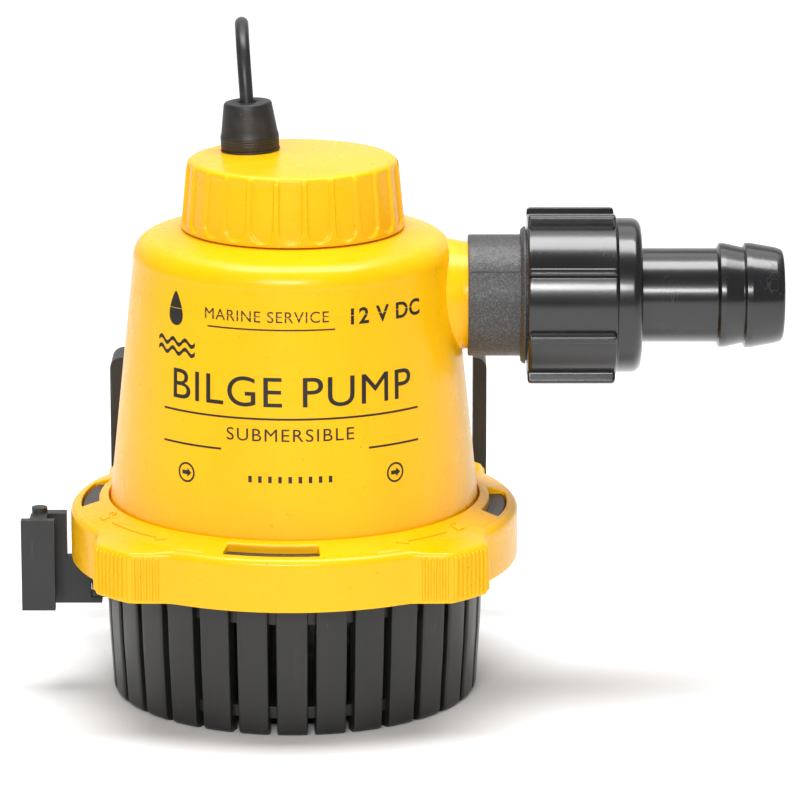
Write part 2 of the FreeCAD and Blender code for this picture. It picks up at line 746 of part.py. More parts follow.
def cartridge_shell():
    """Sealed plastic can around the motor, with a boss below for the shaft seal."""
    floor = shell_bottom + shell_floor_t
    shell = lathe([
        (0, boss_bottom), (seal_boss_r, boss_bottom), (seal_boss_r, shell_bottom), (shell_r, shell_bottom),
        (shell_r, shell_top), (shell_bore_r, shell_top), (shell_bore_r, floor), (0, floor)])
    seat = upright(seal_seat_r, boss_bottom - 1, shell_bottom + seal_seat_h)
    hole = upright(shaft_r + 0.6, boss_bottom - 1, floor + 1)
    return shell.cut(group([seat, hole]))


def shaft_seal():
    """Lip seal: a rubber sleeve whose lip runs on the shaft."""
    lip_r = shaft_r + run_fit
    outer = seal_seat_r - slip_fit / 2
    top = shell_bottom + seal_seat_h - slip_fit
    return lathe([
        (lip_r, boss_bottom + 0.4), (shaft_r + 0.9, boss_bottom), (outer, boss_bottom), (outer, top),
        (shaft_r + 1.6, top), (shaft_r + 1.6, boss_bottom + 1.6), (lip_r, boss_bottom + 1.2)])


def motor_can():
    """Drawn steel can, with a boss below that holds the lower bush."""
    boss_r = can_bush_boss_r
    foot = can_bottom - can_boss_h
    return lathe([
        (bush_r, foot), (boss_r, foot), (boss_r, can_bottom), (can_r, can_bottom), (can_r, can_top),
        (can_bore_r, can_top), (can_bore_r, can_bottom + can_wall), (bush_r, can_bottom + can_wall)])


def bearing(z):
    """Sintered bush for the shaft."""
    return tube(bush_r, shaft_r + run_fit, z, z + bush_h)


def lower_bearing():
    return bearing(can_bottom - bush_out)


def upper_bearing():
    return bearing(can_top - end_plate_t + 0.8)


def end_plate():
    """Closes the motor can and carries the upper bush and the brush boxes."""
    top = can_top
    plate = tube(can_bore_r - slip_fit, bush_r, top - end_plate_t, top)
    boss = tube(bush_r + 1.6, bush_r, top - end_plate_t, top + 2.6)
    start = commutator_r + 1.6
    end = commutator_r + brush_len + spring_len + 1.2
    half_w = brush_w / 2 + slip_fit
    half_h = brush_h / 2 + slip_fit
    outer = block(start, end, -brush_w / 2 - brush_box_wall, brush_w / 2 + brush_box_wall,
                  brush_z - brush_h / 2 - brush_box_wall, top - end_plate_t + 0.2)
    channel = block(start - 1, end - 1, -half_w, half_w, brush_z - half_h, brush_z + half_h)
    return fused([plate, boss] + around(outer.cut(channel), 2))


def magnets():
    return group([sector(magnet_bore_r, can_bore_r - run_fit, magnet_bottom, magnet_top,
                         90 + 180 * i, magnet_half_deg) for i in range(2)])


def brushes():
    start = commutator_r + run_fit
    brush = block(start, start + brush_len, -brush_w / 2, brush_w / 2,
                  brush_z - brush_h / 2, brush_z + brush_h / 2)
    face = upright(start, brush_z - brush_h, brush_z + brush_h)
    return group(around(brush.cut(face), 2))


def brush_springs():
    """The two coil springs behind the brushes, each drawn as its wire's turns stacked in a row."""
    wire_r = spring_wire_r
    start = commutator_r + run_fit + brush_len + wire_r
    step = (spring_len - 2 * wire_r) / spring_turns
    core = rod(0.35, (start - wire_r, 0, brush_z), (start - wire_r + spring_len - wire_r, 0, brush_z))
    loops = [Part.makeTorus(spring_r - wire_r, wire_r, V(start + step * i, 0, brush_z), V(1, 0, 0))
             for i in range(spring_turns)]
    webs = [block(start + step * i - 0.1, start + step * i + 0.1, -0.15, 0.15,
                  brush_z - spring_r + wire_r, brush_z + spring_r - wire_r) for i in range(spring_turns)]
    return group(around(fused([core] + loops + webs), 2))


def motor_leads():
    """Two insulated leads from the gland down to the brush boxes."""
    bottom = can_top + slip_fit
    top = under_cap_z - gland_flange_h - 1.0
    return group([upright(lead_r, bottom, top, gland_x + side * lead_spread, gland_y) for side in (-1, 1)])


# ---- rotor ------------------------------------------------------------------------------------------------------------------
def motor_shaft():
    return upright(shaft_r, shaft_bottom, shaft_top)


def armature_core():
    core = tube(core_r, shaft_r, core_bottom, core_top)
    slot = block(core_slot_root, core_r + 1, -core_slot_w / 2, core_slot_w / 2, core_bottom - 1, core_top + 1)
    return core.cut(group(around(slot, core_slots)))


def armature_windings():
    """Copper in the five slots, with the end turns on both faces of the core."""
    half = core_slot_w / 2 - slip_fit
    bars = around(block(core_slot_root + slip_fit, core_r - 0.6, -half, half,
                        core_bottom - 1, core_top + 1), core_slots)
    turns_r = core_r - 1.2
    low = lathe([(3.0, core_bottom - winding_over), (turns_r - 1, core_bottom - winding_over),
                 (turns_r, core_bottom - winding_over + 1), (turns_r, core_bottom), (3.0, core_bottom)])
    high = lathe([(3.0, core_top), (turns_r, core_top), (turns_r, core_top + winding_over - 1),
                  (turns_r - 1, core_top + winding_over), (3.0, core_top + winding_over)])
    return fused([low, high] + bars)


def commutator():
    body = tube(commutator_r, shaft_r, commutator_bottom, commutator_top)
    cut = block(commutator_r - commutator_gap, commutator_r + 1, -0.15, 0.15, commutator_bottom - 1, commutator_top + 1)
    return body.cut(group(around(cut, core_slots, 36)))


def impeller():
    """Open impeller: a disc on a hub with curved vanes that face the intake eye."""
    disc = upright(impeller_r, impeller_disc_z, impeller_top)
    hub = upright(impeller_hub_r, impeller_bottom, impeller_disc_z + 0.1)
    middle = (vane_from_deg + vane_to_deg) / 2
    vane = sector(vane_curve_r - vane_t / 2, vane_curve_r + vane_t / 2, impeller_bottom,
                  impeller_disc_z + 0.1, middle, (vane_to_deg - vane_from_deg) / 2)
    vane.translate(V(vane_centre[0], vane_centre[1], 0))
    vane = vane.common(upright(impeller_r, impeller_bottom, impeller_disc_z + 1))
    blank = fused([disc, hub] + around(vane, vane_count))
    return blank.cut(upright(shaft_r, shaft_bottom, impeller_top + 1))


# ---- outlet ---------------------------------------------------------------------------------------------------------------------
def valve_body():
    """Collar over the housing spigot, with the valve seat, the flap chamber and the male thread."""
    root, slope = thread_root_r, thread_depth
    profile = [(valve_start, valve_socket_r), (valve_start, valve_r), (valve_flange_x, valve_r),
               (valve_flange_x, valve_flange_r - valve_flange_chamfer),
               (valve_flange_x + valve_flange_chamfer, valve_flange_r),
               (valve_flange_end, valve_flange_r), (valve_flange_end, thread_r)]
    turn = nut_start + thread_lead_in
    while turn + thread_pitch < thread_end:
        profile += [(turn, thread_r), (turn + slope, root), (turn + slope + thread_flat, root),
                    (turn + 2 * slope + thread_flat, thread_r)]
        turn += thread_pitch
    profile += [(thread_end, thread_r), (thread_end, valve_chamber_r), (seat_x, valve_chamber_r),
                (seat_x, seat_bore_r), (seat_back, seat_bore_r), (seat_back, valve_socket_r)]
    body = lathe_x(profile)
    pin_x, pin_z = flap_pin_x, flap_pin_z
    ears = []
    for side in (-1, 1):
        inner = flap_eye_w / 2 + turn_gap
        y0, y1 = sorted((side * inner, side * (inner + ear_w)))
        ears.append(block(seat_x - 0.1, pin_x + ear_r, y0, y1, pin_z, outlet_z + thread_r - 1))
        ears.append(block(seat_x - 0.1, pin_x, y0, y1, pin_z - ear_r, pin_z))
        ears.append(rod(ear_r, (pin_x, y0, pin_z), (pin_x, y1, pin_z)))
    room = rod(thread_r - 1, (seat_x - 0.5, 0, outlet_z), (thread_end, 0, outlet_z))
    body = fused([body] + [ear.common(room) for ear in ears])
    return body.cut(rod(flap_pin_r, (pin_x, -6, pin_z), (pin_x, 6, pin_z)))


def valve_pin():
    pin_x, pin_z = flap_pin_x, flap_pin_z
    half = flap_eye_w / 2 + turn_gap + ear_w - 0.2
    return rod(flap_pin_r, (pin_x, -half, pin_z), (pin_x, half, pin_z))


def valve_flap():
    """Rubber disc that hangs from the pin and closes against the seat."""
    pin_x, pin_z = flap_pin_x, flap_pin_z
    back = seat_x + run_fit
    disc = rod(flap_r, (back, 0, outlet_z), (back + flap_t, 0, outlet_z))
    disc = disc.common(block(seat_x, seat_x + 5, -20, 20, outlet_z - 20, pin_z - flap_shoulder))
    eye = rod(flap_eye_r, (pin_x, -flap_eye_w / 2, pin_z), (pin_x, flap_eye_w / 2, pin_z))
    web = block(back + 0.1, back + flap_t, -flap_eye_w / 2, flap_eye_w / 2, outlet_z + 5, pin_z)
    flap = fused([disc, eye, web])
    return flap.cut(rod(flap_pin_r + run_fit, (pin_x, -6, pin_z), (pin_x, 6, pin_z)))


def union_nut():
    """Ribbed nut with a plain rear collar; its inner shoulder pulls the hose tail up."""
    hole = tail_r + turn_gap
    quarter = nut_collar_round * (1 - math.sqrt(0.5))
    nut = lathe_x([
        (nut_start, nut_bore_r), (nut_start, nut_r - 0.5), (nut_start + 0.5, nut_r), (nut_body_end, nut_r),
        (nut_body_end + 0.3, nut_collar_r), (nut_end - nut_collar_round, nut_collar_r),
        ((nut_end - quarter, nut_collar_r - quarter), (nut_end, nut_collar_r - nut_collar_round)),
        (nut_end, hole), (nut_shoulder, hole), (nut_shoulder, nut_bore_r)])
    rib = block(nut_start, nut_body_end, -nut_rib_w / 2, nut_rib_w / 2,
                outlet_z + nut_r - 0.5, outlet_z + nut_rib_r)
    ribs = []
    for i in range(nut_rib_count):
        copy = rib.copy()
        copy.rotate(V(0, 0, outlet_z), V(1, 0, 0), 90 - nut_rib_phase - 360.0 / nut_rib_count * i)
        ribs.append(copy)
    return fused([nut] + ribs)


def union_gasket():
    return rod(tail_flange_r, (thread_end, 0, outlet_z), (tail_start, 0, outlet_z)).cut(
        rod(valve_chamber_r, (thread_end - 1, 0, outlet_z), (tail_start + 1, 0, outlet_z)))


def hose_tail():
    """Flange and chamber inside the nut, a plain neck, then two hose barbs."""
    barb_1, barb_2 = (tail_end - back for back in barb_back)
    return lathe_x([
        (tail_start, valve_chamber_r), (tail_start, tail_flange_r), (tail_flange_end, tail_flange_r),
        (tail_flange_end, tail_r), (barb_1 - 0.4, tail_r), (barb_1, barb_r), (barb_1 + barb_land, barb_r),
        (barb_2 - 0.3, barb_root_r), (barb_2, barb_r + 0.05), (barb_2 + barb_land, barb_r + 0.05),
        (tail_end - tail_mouth_round, barb_root_r),
        ((tail_end - 0.5, barb_root_r - 0.5), (tail_end, barb_root_r - tail_mouth_round)),
        (tail_end, tail_bore_r), (tail_chamber_end, tail_bore_r), (tail_chamber_end, valve_chamber_r)])


# ---- power cord --------------------------------------------------------------------------------------------------------------------
def cord_path(points):
    """Straight runs joined by tangent arcs; gives the wire, its length and the arc radii."""
    points = [V(*p) for p in points]
    edges, radii, length = [], [], 0.0
    here = points[0]
    for before, corner, after in zip(points, points[1:], points[2:]):
        u = (corner - before).normalize()
        v = (after - corner).normalize()
        turn = u.getAngle(v)
        cut = 0.45 * min((corner - before).Length, (after - corner).Length)
        radius = cut / math.tan(turn / 2)
        start, end = corner - u * cut, corner + v * cut
        bisector = (v - u).normalize()
        middle = corner + bisector * (radius / math.cos(turn / 2) - radius)
        edges += [Part.LineSegment(here, start).toShape(), Part.Arc(start, middle, end).toShape()]
        length += (start - here).Length + radius * turn
        radii.append(round(radius, 1))
        here = end
    edges.append(Part.LineSegment(here, points[-1]).toShape())
    length += (points[-1] - here).Length
    return Part.Wire(edges), length, radii


def power_cord():
    wire, length, radii = cord_path(cord_points)
    first = V(*cord_points[1]) - V(*cord_points[0])
    section = Part.Wire([Part.makeCircle(cord_d / 2, V(*cord_points[0]), first)])
    solid = wire.makePipeShell([section], True, False)
    expected = math.pi * cord_d ** 2 / 4 * length
    print("cord radii", radii, "length", round(length, 1), "volume", round(solid.Volume / expected, 4))
    return solid


def cord_coil():
    """Outer shape of the wound part of the cord."""
    r0, r1, e = coil_mean_r - coil_half_w, coil_mean_r + coil_half_w, coil_edge_r
    q = e * (1 - math.sqrt(0.5))
    coil = lathe([
        (r0 + e, 0), (r1 - e, 0), ((r1 - q, q), (r1, e)), (r1, coil_h - e),
        ((r1 - q, coil_h - q), (r1 - e, coil_h)), (r0 + e, coil_h), ((r0 + q, coil_h - q), (r0, coil_h - e)),
        (r0, e), ((r0 + q, q), (r0 + e, 0))])
    solid = coil.cut(tie_band(r0 - 5, r1 + 5, -5, coil_h + 5).cut(tie_band(r0 + tie_t, r1 - tie_t, tie_t,
                                                                       coil_h - tie_t)))
    solid.translate(V(coil_x, coil_y, 0))
    return solid


def tie_band(r0, r1, z0, z1):
    return turned(block(r0, r1, -tie_w / 2, tie_w / 2, z0, z1), tie_azimuth)


def coil_tie():
    """Flat tie round the coil."""
    r0, r1 = coil_mean_r - coil_half_w, coil_mean_r + coil_half_w
    band = tie_band(r0, r1, 0, coil_h).cut(tie_band(r0 + tie_t, r1 - tie_t, tie_t, coil_h - tie_t))
    band.translate(V(coil_x, coil_y, 0))
    return band


def cord_tail():
    """The last straight bit of the cord, which leaves the coil towards its bared ends."""
    x = coil_x + coil_mean_r + coil_half_w - cord_d / 2
    reach = math.sqrt((coil_mean_r + coil_half_w) ** 2 - (x - coil_x) ** 2)
    return rod(cord_d / 2, (x, coil_y - reach + 2, cord_d / 2 + 0.1),
               (x, coil_y - reach - tail_len, cord_d / 2 + 0.1))


def lead_ends():
    """Two tinned ends of the cord's cores."""
    x = coil_x + coil_mean_r + coil_half_w - cord_d / 2
    reach = math.sqrt((coil_mean_r + coil_half_w) ** 2 - (x - coil_x) ** 2)
    y = coil_y - reach - tail_len
    z = cord_d / 2 + 0.1
    return group([rod(lead_r, (x + side * lead_gap / 2, y, z), (x + side * lead_gap / 2, y - lead_len, z))
                  for side in (-1, 1)])


pieces = {
    "strainer_base": strainer_base, "switch_rail": switch_rail, "rear_bracket": rear_bracket,
    "lock_ring": lock_ring, "pump_housing": pump_housing, "base_seal": base_seal,
    "intake_plate": intake_plate, "motor_cap": motor_cap, "cap_seal": cap_seal,
    "cable_gland": cable_gland, "cartridge_shell": cartridge_shell, "shaft_seal": shaft_seal,
    "motor_can": motor_can, "lower_bearing": lower_bearing, "upper_bearing": upper_bearing,
    "end_plate": end_plate, "magnets": magnets, "brushes": brushes, "brush_springs": brush_springs,
    "motor_leads": motor_leads, "motor_shaft": motor_shaft, "armature_core": armature_core,
    "armature_windings": armature_windings, "commutator": commutator, "impeller": impeller,
    "valve_body": valve_body, "valve_pin": valve_pin, "valve_flap": valve_flap,
    "union_nut": union_nut, "union_gasket": union_gasket, "hose_tail": hose_tail,
    "power_cord": power_cord, "cord_coil": cord_coil, "coil_tie": coil_tie,
    "cord_tail": cord_tail, "lead_ends": lead_ends,
}

os.makedirs("parts", exist_ok=True)
for name, make in pieces.items():
    shape = make()
    print(name, "solids", len(shape.Solids), "valid", shape.isValid(), "volume", round(shape.Volume, 1))
    shape.exportStep("parts/" + name + ".step")
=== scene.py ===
import math

import bmesh
import bpy
from mathutils import Matrix, Vector


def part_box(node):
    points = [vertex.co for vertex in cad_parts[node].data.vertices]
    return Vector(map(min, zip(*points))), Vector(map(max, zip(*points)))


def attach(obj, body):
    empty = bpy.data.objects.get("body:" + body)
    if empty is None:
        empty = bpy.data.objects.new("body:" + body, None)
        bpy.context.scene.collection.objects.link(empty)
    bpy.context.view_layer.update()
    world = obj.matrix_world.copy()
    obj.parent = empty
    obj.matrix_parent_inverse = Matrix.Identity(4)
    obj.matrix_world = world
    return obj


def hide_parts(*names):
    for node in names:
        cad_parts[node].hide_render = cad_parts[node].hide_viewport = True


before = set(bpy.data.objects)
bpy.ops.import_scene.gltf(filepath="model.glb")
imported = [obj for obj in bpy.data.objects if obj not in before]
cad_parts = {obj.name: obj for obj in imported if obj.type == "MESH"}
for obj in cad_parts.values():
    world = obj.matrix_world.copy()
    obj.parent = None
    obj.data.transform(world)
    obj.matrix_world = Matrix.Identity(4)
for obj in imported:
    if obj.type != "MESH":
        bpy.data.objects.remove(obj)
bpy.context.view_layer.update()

bl_info = {
    "name": "Bilge pump",
    "version": (1, 0, 0),
    "blender": (4, 5, 0),
    "location": "View3D > Sidebar > Bilge pump",
    "description": "Builds a cartridge bilge pump round its packed frame",
    "category": "Object",
}

MM = 0.001
ROUND = 192                     # steps of a full turn on the large turned pieces


def node_box(node):
    """Lowest and highest corner of a node, in millimetres."""
    low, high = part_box(node)
    return low / MM, high / MM


RING_LOW, RING_HIGH = node_box("lock_ring")
HOUSING_HIGH = node_box("pump_housing")[1]
CAP_LOW, CAP_HIGH = node_box("motor_cap")
VALVE_LOW, VALVE_HIGH = node_box("valve_body")
NUT_LOW, NUT_HIGH = node_box("union_nut")
TAIL_LOW, TAIL_HIGH = node_box("hose_tail")
OUTLET_Z = (TAIL_LOW.z + TAIL_HIGH.z) / 2
RING_R = RING_HIGH.x
RING_TOP = RING_HIGH.z
RING_FALL = 1.9                 # how far the ring's top slopes down to its edge
RING_CAVITY_R = RING_R - 2.2
LUG_AZIMUTHS = (-95, -5, 85, 175)


def length(name, millimetres, description):
    return bpy.props.FloatProperty(name=name, description=description, default=millimetres * MM,
                                   min=0.0, precision=5, unit="LENGTH")


def colour(name, rgb, description):
    return bpy.props.FloatVectorProperty(name=name, description=description, default=rgb,
                                         size=3, min=0.0, max=1.0, subtype="COLOR")


# ---- sizes and colours a user would change ----------------------------------------------------
class PumpFinish(bpy.types.PropertyGroup):
    yellow: colour("Yellow", (0.95, 0.485, 0.0), "Moulded yellow of the housing, cap and lock ring")
    base_black: colour("Base black", (0.013, 0.013, 0.012), "Satin black of the strainer base")
    bracket_black: colour("Bracket black", (0.018, 0.019, 0.020), "Satin black of the rail and bracket")
    union_black: colour("Union black", (0.006, 0.006, 0.007), "Glossy black of the nut and hose tail")
    valve_black: colour("Valve black", (0.042, 0.042, 0.044), "Sparked black of the valve collar")
    ink: colour("Print ink", (0.010, 0.009, 0.006), "Pad-printed marks on the housing")


class StrainerSizes(bpy.types.PropertyGroup):
    top_radius: length("Top radius", 38.9, "Radius over the slats under the lock ring")
    foot_radius: length("Foot radius", 37.2, "Radius over the slats at the floor")
    height: length("Height", 27.8, "Height of the slats")
    wall: length("Wall", 3.6, "Full depth of a slat")
    slot: length("Slot", 1.6, "Gap between two slats")
    slats: bpy.props.IntProperty(name="Slats", description="Number of slats", default=30, min=3)
    phase: bpy.props.FloatProperty(name="Phase", description="Turn of the first gap", subtype="ANGLE",
                                   default=math.radians(0.3))


class RingSizes(bpy.types.PropertyGroup):
    edge: length("Edge", 1.6, "Rounding of the ring's top edge")
    pad_half: length("Pad half width", 39.0, "Half width of the square that forms the grip pads")
    pad_corner: length("Pad corner", 50.4, "Radius of the pads' rounded corners")
    pad_drop: length("Pad drop", 0.5, "How far a pad's top lies below the ring's edge")
    rib_pitch: length("Rib pitch", 1.15, "Distance between two grip ribs")
    rib_width: length("Rib width", 0.72, "Width of a grip rib")


class HousingSizes(bpy.types.PropertyGroup):
    foot_radius: length("Foot radius", 37.4, "Radius of the taper at the lock ring")
    top_radius: length("Top radius", 32.3, "Radius of the taper at the shoulder")
    shoulder: length("Shoulder height", 89.6, "Height where the shoulder starts")
    wall: length("Wall", 2.2, "Wall of the housing")
    spigot_radius: length("Spigot radius", 10.8, "Radius of the outlet spigot")


class CapSizes(bpy.types.PropertyGroup):
    foot_radius: length("Foot radius", 22.6, "Radius at the cap's foot")
    head_radius: length("Head radius", 21.5, "Radius where the edge starts to round")
    flutes: bpy.props.IntProperty(name="Flutes", description="Finger flutes round the cap",
                                  default=24, min=3)
    flute_width: length("Flute width", 4.9, "Width of a flute")
    flute_depth: length("Flute depth", 0.55, "Depth of a flute")
    gland_foot: length("Gland foot", 5.95, "Radius of the cable gland at its foot")
    gland_top: length("Gland top", 4.75, "Radius of the cable gland at its top")


class OutletSizes(bpy.types.PropertyGroup):
    collar_radius: length("Collar radius", 12.3, "Radius of the valve collar")
    nut_radius: length("Nut radius", 16.45, "Radius of the nut between its ribs")
    rib_width: length("Rib width", 1.6, "Width of a nut rib")
    rib_height: length("Rib height", 1.95, "How far a nut rib stands out of the nut")
    ribs: bpy.props.IntProperty(name="Ribs", description="Ribs round the nut", default=8, min=2)
    rib_phase: bpy.props.FloatProperty(name="Rib phase", description="Turn of the first rib",
                                       subtype="ANGLE", default=math.radians(27.5))
    tail_radius: length("Tail radius", 9.5, "Radius of the plain neck of the hose tail")
    barb: length("Barb", 1.05, "Height of a hose barb over the neck")


class CordSizes(bpy.types.PropertyGroup):
    diameter: length("Diameter", 2.8, "Diameter of the power cord")
    total: length("Length", 914.0, "Length from the gland to the bared ends")


class StageSettings(bpy.types.PropertyGroup):
    pitch: bpy.props.FloatProperty(name="Camera pitch", description="Downward tilt of the camera",
                                   subtype="ANGLE", default=math.radians(13.98))
    lens: bpy.props.FloatProperty(name="Lens", description="Focal length", default=225.0,
                                  min=1.0, unit="CAMERA")
    key: bpy.props.FloatProperty(name="Key light", description="Strength of the overhead light",
                                 default=11.0, min=0.0, unit="POWER")


GROUPS = {
    "finish": PumpFinish, "strainer": StrainerSizes, "ring": RingSizes, "housing": HousingSizes,
    "cap": CapSizes, "outlet": OutletSizes, "cord": CordSizes, "stage": StageSettings,
}


class PumpSettings(bpy.types.PropertyGroup):
    finish: bpy.props.PointerProperty(type=PumpFinish)
    strainer: bpy.props.PointerProperty(type=StrainerSizes)
    ring: bpy.props.PointerProperty(type=RingSizes)
    housing: bpy.props.PointerProperty(type=HousingSizes)
    cap: bpy.props.PointerProperty(type=CapSizes)
    outlet: bpy.props.PointerProperty(type=OutletSizes)
    cord: bpy.props.PointerProperty(type=CordSizes)
    stage: bpy.props.PointerProperty(type=StageSettings)


# ---- node graphs -------------------------------------------------------------------------------
class Value:
    """A node's output socket; arithmetic on it adds Math nodes."""

    def __init__(self, graph, socket):
        self.graph = graph
        self.socket = socket

    def _math(self, operation, *operands):
        return self.graph.node("ShaderNodeMath", {"operation": operation}, operands)

    def __add__(self, other):
        return self._math("ADD", self, other)

    def __sub__(self, other):
        return self._math("SUBTRACT", self, other)

    def __rsub__(self, other):
        return self._math("SUBTRACT", other, self)

    def __mul__(self, other):
        return self._math("MULTIPLY", self, other)

    def __truediv__(self, other):
        return self._math("DIVIDE", self, other)

    def __abs__(self):
        return self._math("ABSOLUTE", self)

    __radd__ = __add__
    __rmul__ = __mul__


class Graph:
    """A node tree; every node comes from one method."""

    def __init__(self, tree):
        self.tree = tree

    def node(self, kind, settings=None, inputs=(), out=0):
        made = self.tree.nodes.new(kind)
        for key, value in (settings or {}).items():
            setattr(made, key, value)
        pairs = inputs.items() if isinstance(inputs, dict) else enumerate(inputs)
        for key, value in pairs:
            if isinstance(value, Value):
                self.tree.links.new(value.socket, made.inputs[key])
            else:
                made.inputs[key].default_value = value
        return Value(self, made.outputs[out]) if len(made.outputs) else None

    # shader patterns; sizes are in millimetres on the piece
    def place(self, stretch=(1, 1, 1), turn=(0, 0, 0)):
        where = self.node("ShaderNodeTexCoord", out=3)
        return self.node("ShaderNodeMapping", {}, {"Vector": where, "Scale": stretch, "Rotation": turn})

    def noise(self, size, detail=2.0, stretch=(1, 1, 1), turn=(0, 0, 0), rough=0.5):
        return self.node("ShaderNodeTexNoise", {}, {
            "Vector": self.place(stretch, turn), "Scale": 1 / (size * MM), "Detail": detail,
            "Roughness": rough})

    def band(self, value, low, high, start=0.0, end=1.0):
        return self.node("ShaderNodeMapRange", {"interpolation_type": "SMOOTHSTEP"},
                         (value, low, high, start, end))

    def mix(self, share, first, second):
        return self.node("ShaderNodeMix", {"data_type": "RGBA"}, {0: share, 6: first, 7: second}, out=2)

    def bump(self, height, depth, under=None):
        """A Bump node; depth is how tall the height's 0 to 1 stands, in millimetres."""
        inputs = {"Strength": 1.0, "Distance": depth * MM, "Height": height}
        if under:
            inputs["Normal"] = under
        return self.node("ShaderNodeBump", {}, inputs)

    def scratches(self, size, turn, amount=0.5):
        """Sparse fine scratches along one direction, as a mask."""
        line = 1 - self.band(abs(self.noise(size, 1.0, (1, 1, 0.02), turn) - 0.5), 0.0, 0.008)
        return line * self.band(self.noise(size * 5, 2.0), 0.62 - 0.2 * amount, 0.72 - 0.2 * amount)


def shade(rgb, factor):
    return (*(min(1.0, channel * factor) for channel in rgb[:3]), 1.0)


SOCKETS = {"specular": "Specular IOR Level", "ior": "IOR", "metallic": "Metallic",
           "coat_weight": "Coat Weight", "coat_roughness": "Coat Roughness"}


def new_material(name, build, **constants):
    """A Principled material; build gives what varies over the surface, constants sit on sockets."""
    material = bpy.data.materials.new(name)
    material.use_nodes = True
    tree = material.node_tree
    tree.nodes.clear()
    graph = Graph(tree)
    inputs = {**build(graph), **{SOCKETS[key]: value for key, value in constants.items()}}
    surface = graph.node("ShaderNodeBsdfPrincipled", {}, inputs)
    graph.node("ShaderNodeOutputMaterial", {}, {"Surface": surface})
    return material


def glossy_yellow(rgb):
    """Injection-moulded yellow: orange peel, faint flow marks, fine wear and a few specks."""
    def build(g):
        flow = g.noise(16, 3.0, (1, 1, 0.3))
        blotch = g.noise(5, 3.0)
        scratch = g.scratches(2.2, (0.5, 0.2, 0.0)) + g.scratches(3.0, (1.3, -0.6, 0.8))
        speck = 1 - g.band(g.noise(0.6, 0.0), 0.135, 0.165)
        tone = g.mix(g.band(flow, 0.3, 0.7), shade(rgb, 0.965), shade(rgb, 1.035))
        tone = g.mix(g.band(blotch, 0.35, 0.75) * 0.25, tone, shade((rgb[0], rgb[1] * 1.05, 0.004), 1.0))
        tone = g.mix(speck * 0.5, tone, shade((0.32, 0.15, 0.01), 1.0))
        peel = g.bump(g.noise(1.6, 2.0), 0.004)
        grain = g.bump(g.noise(0.22, 2.0), 0.0012, peel)
        return {"Base Color": tone,
                "Roughness": g.band(blotch, 0.2, 0.8, 0.25, 0.34) + scratch * 0.2,
                "Normal": g.bump(1 - scratch, 0.002, grain)}
    return new_material("moulded_yellow", build, specular=0.32, ior=1.49, coat_weight=0.05,
                        coat_roughness=0.12)


def black_plastic(name, rgb, roughness, grain, grain_depth, wear=0.5, peel=0.003, streak=(1, 1, 1), **more):
    """Moulded black: a fine grain, uneven gloss, light scuffs and dust."""
    def build(g):
        cloud = g.noise(7, 3.0, streak)
        fine = g.noise(grain, 2.0)
        scratch = g.scratches(1.8, (0.9, 0.3, 0.4), wear) + g.scratches(2.6, (-0.4, 1.2, 0.0), wear)
        dust = g.band(g.noise(0.45, 2.0), 0.66, 0.8) * g.band(cloud, 0.45, 0.75)
        tone = g.mix(g.band(cloud, 0.25, 0.75), shade(rgb, 0.82), shade(rgb, 1.2))
        tone = g.mix(scratch * 0.35 * wear, tone, shade((0.13, 0.13, 0.125), 1.0))
        tone = g.mix(dust * 0.30 * wear, tone, shade((0.16, 0.155, 0.145), 1.0))
        skin = g.bump(g.noise(1.4, 2.0), peel)
        return {"Base Color": tone,
                "Roughness": g.band(cloud, 0.2, 0.8, roughness * 0.86, roughness * 1.16) + scratch * 0.15,
                "Normal": g.bump(fine, grain_depth, skin)}
    return new_material(name, build, **more)


def sparked_black(rgb):
    """Spark-eroded texture of the valve collar: bumped pits, with a light speckle painted into the colour as
    glints.
    """
    def build(g):
        pits_and_painted_glints = g.noise(0.34, 3.0, rough=0.65)
        coarse = g.noise(0.75, 2.0)
        # painted highlight: the light speckle over the pits is glint painted into the base colour, not colour
        # of the plastic; the pits' relief is the bump
        tone = g.mix(g.band(pits_and_painted_glints, 0.42, 0.68), shade(rgb, 0.6), shade(rgb, 2.3))
        return {"Base Color": tone, "Roughness": g.band(coarse, 0.3, 0.7, 0.36, 0.52),
                "Normal": g.bump(pits_and_painted_glints, 0.085, g.bump(coarse, 0.05))}
    return new_material("valve_sparked_black", build, specular=0.6)


def lug_black(rgb):
    """The base's black, with a coarse texture on the tops of the lugs."""
    def build(g):
        cloud = g.noise(6, 3.0, (1, 1, 0.4))
        fine = g.noise(0.2, 2.0)
        rough_skin = g.noise(0.5, 3.0, rough=0.7)
        height = g.node("ShaderNodeSeparateXYZ", {}, (g.node("ShaderNodeTexCoord", out=3),), out=2)
        top = g.band(height, (RING_TOP - 3.2) * MM, (RING_TOP - 2.7) * MM)
        scratch = g.scratches(1.6, (0.2, 0.3, 0.9), 0.4)
        tone = g.mix(g.band(cloud, 0.25, 0.75), shade(rgb, 0.8), shade(rgb, 1.25))
        tone = g.mix(scratch * 0.3, tone, shade((0.1, 0.1, 0.095), 1.0))
        tone = g.mix(top * g.band(rough_skin, 0.4, 0.62), tone, shade((0.085, 0.085, 0.08), 1.0))
        skin = g.bump(g.noise(1.3, 2.0), 0.004)
        skin = g.bump(rough_skin * top, 0.10, skin)
        return {"Base Color": tone, "Roughness": g.band(cloud, 0.2, 0.8, 0.36, 0.48),
                "Normal": g.bump(fine, 0.004, skin)}
    return new_material("strainer_black", build, specular=0.5)


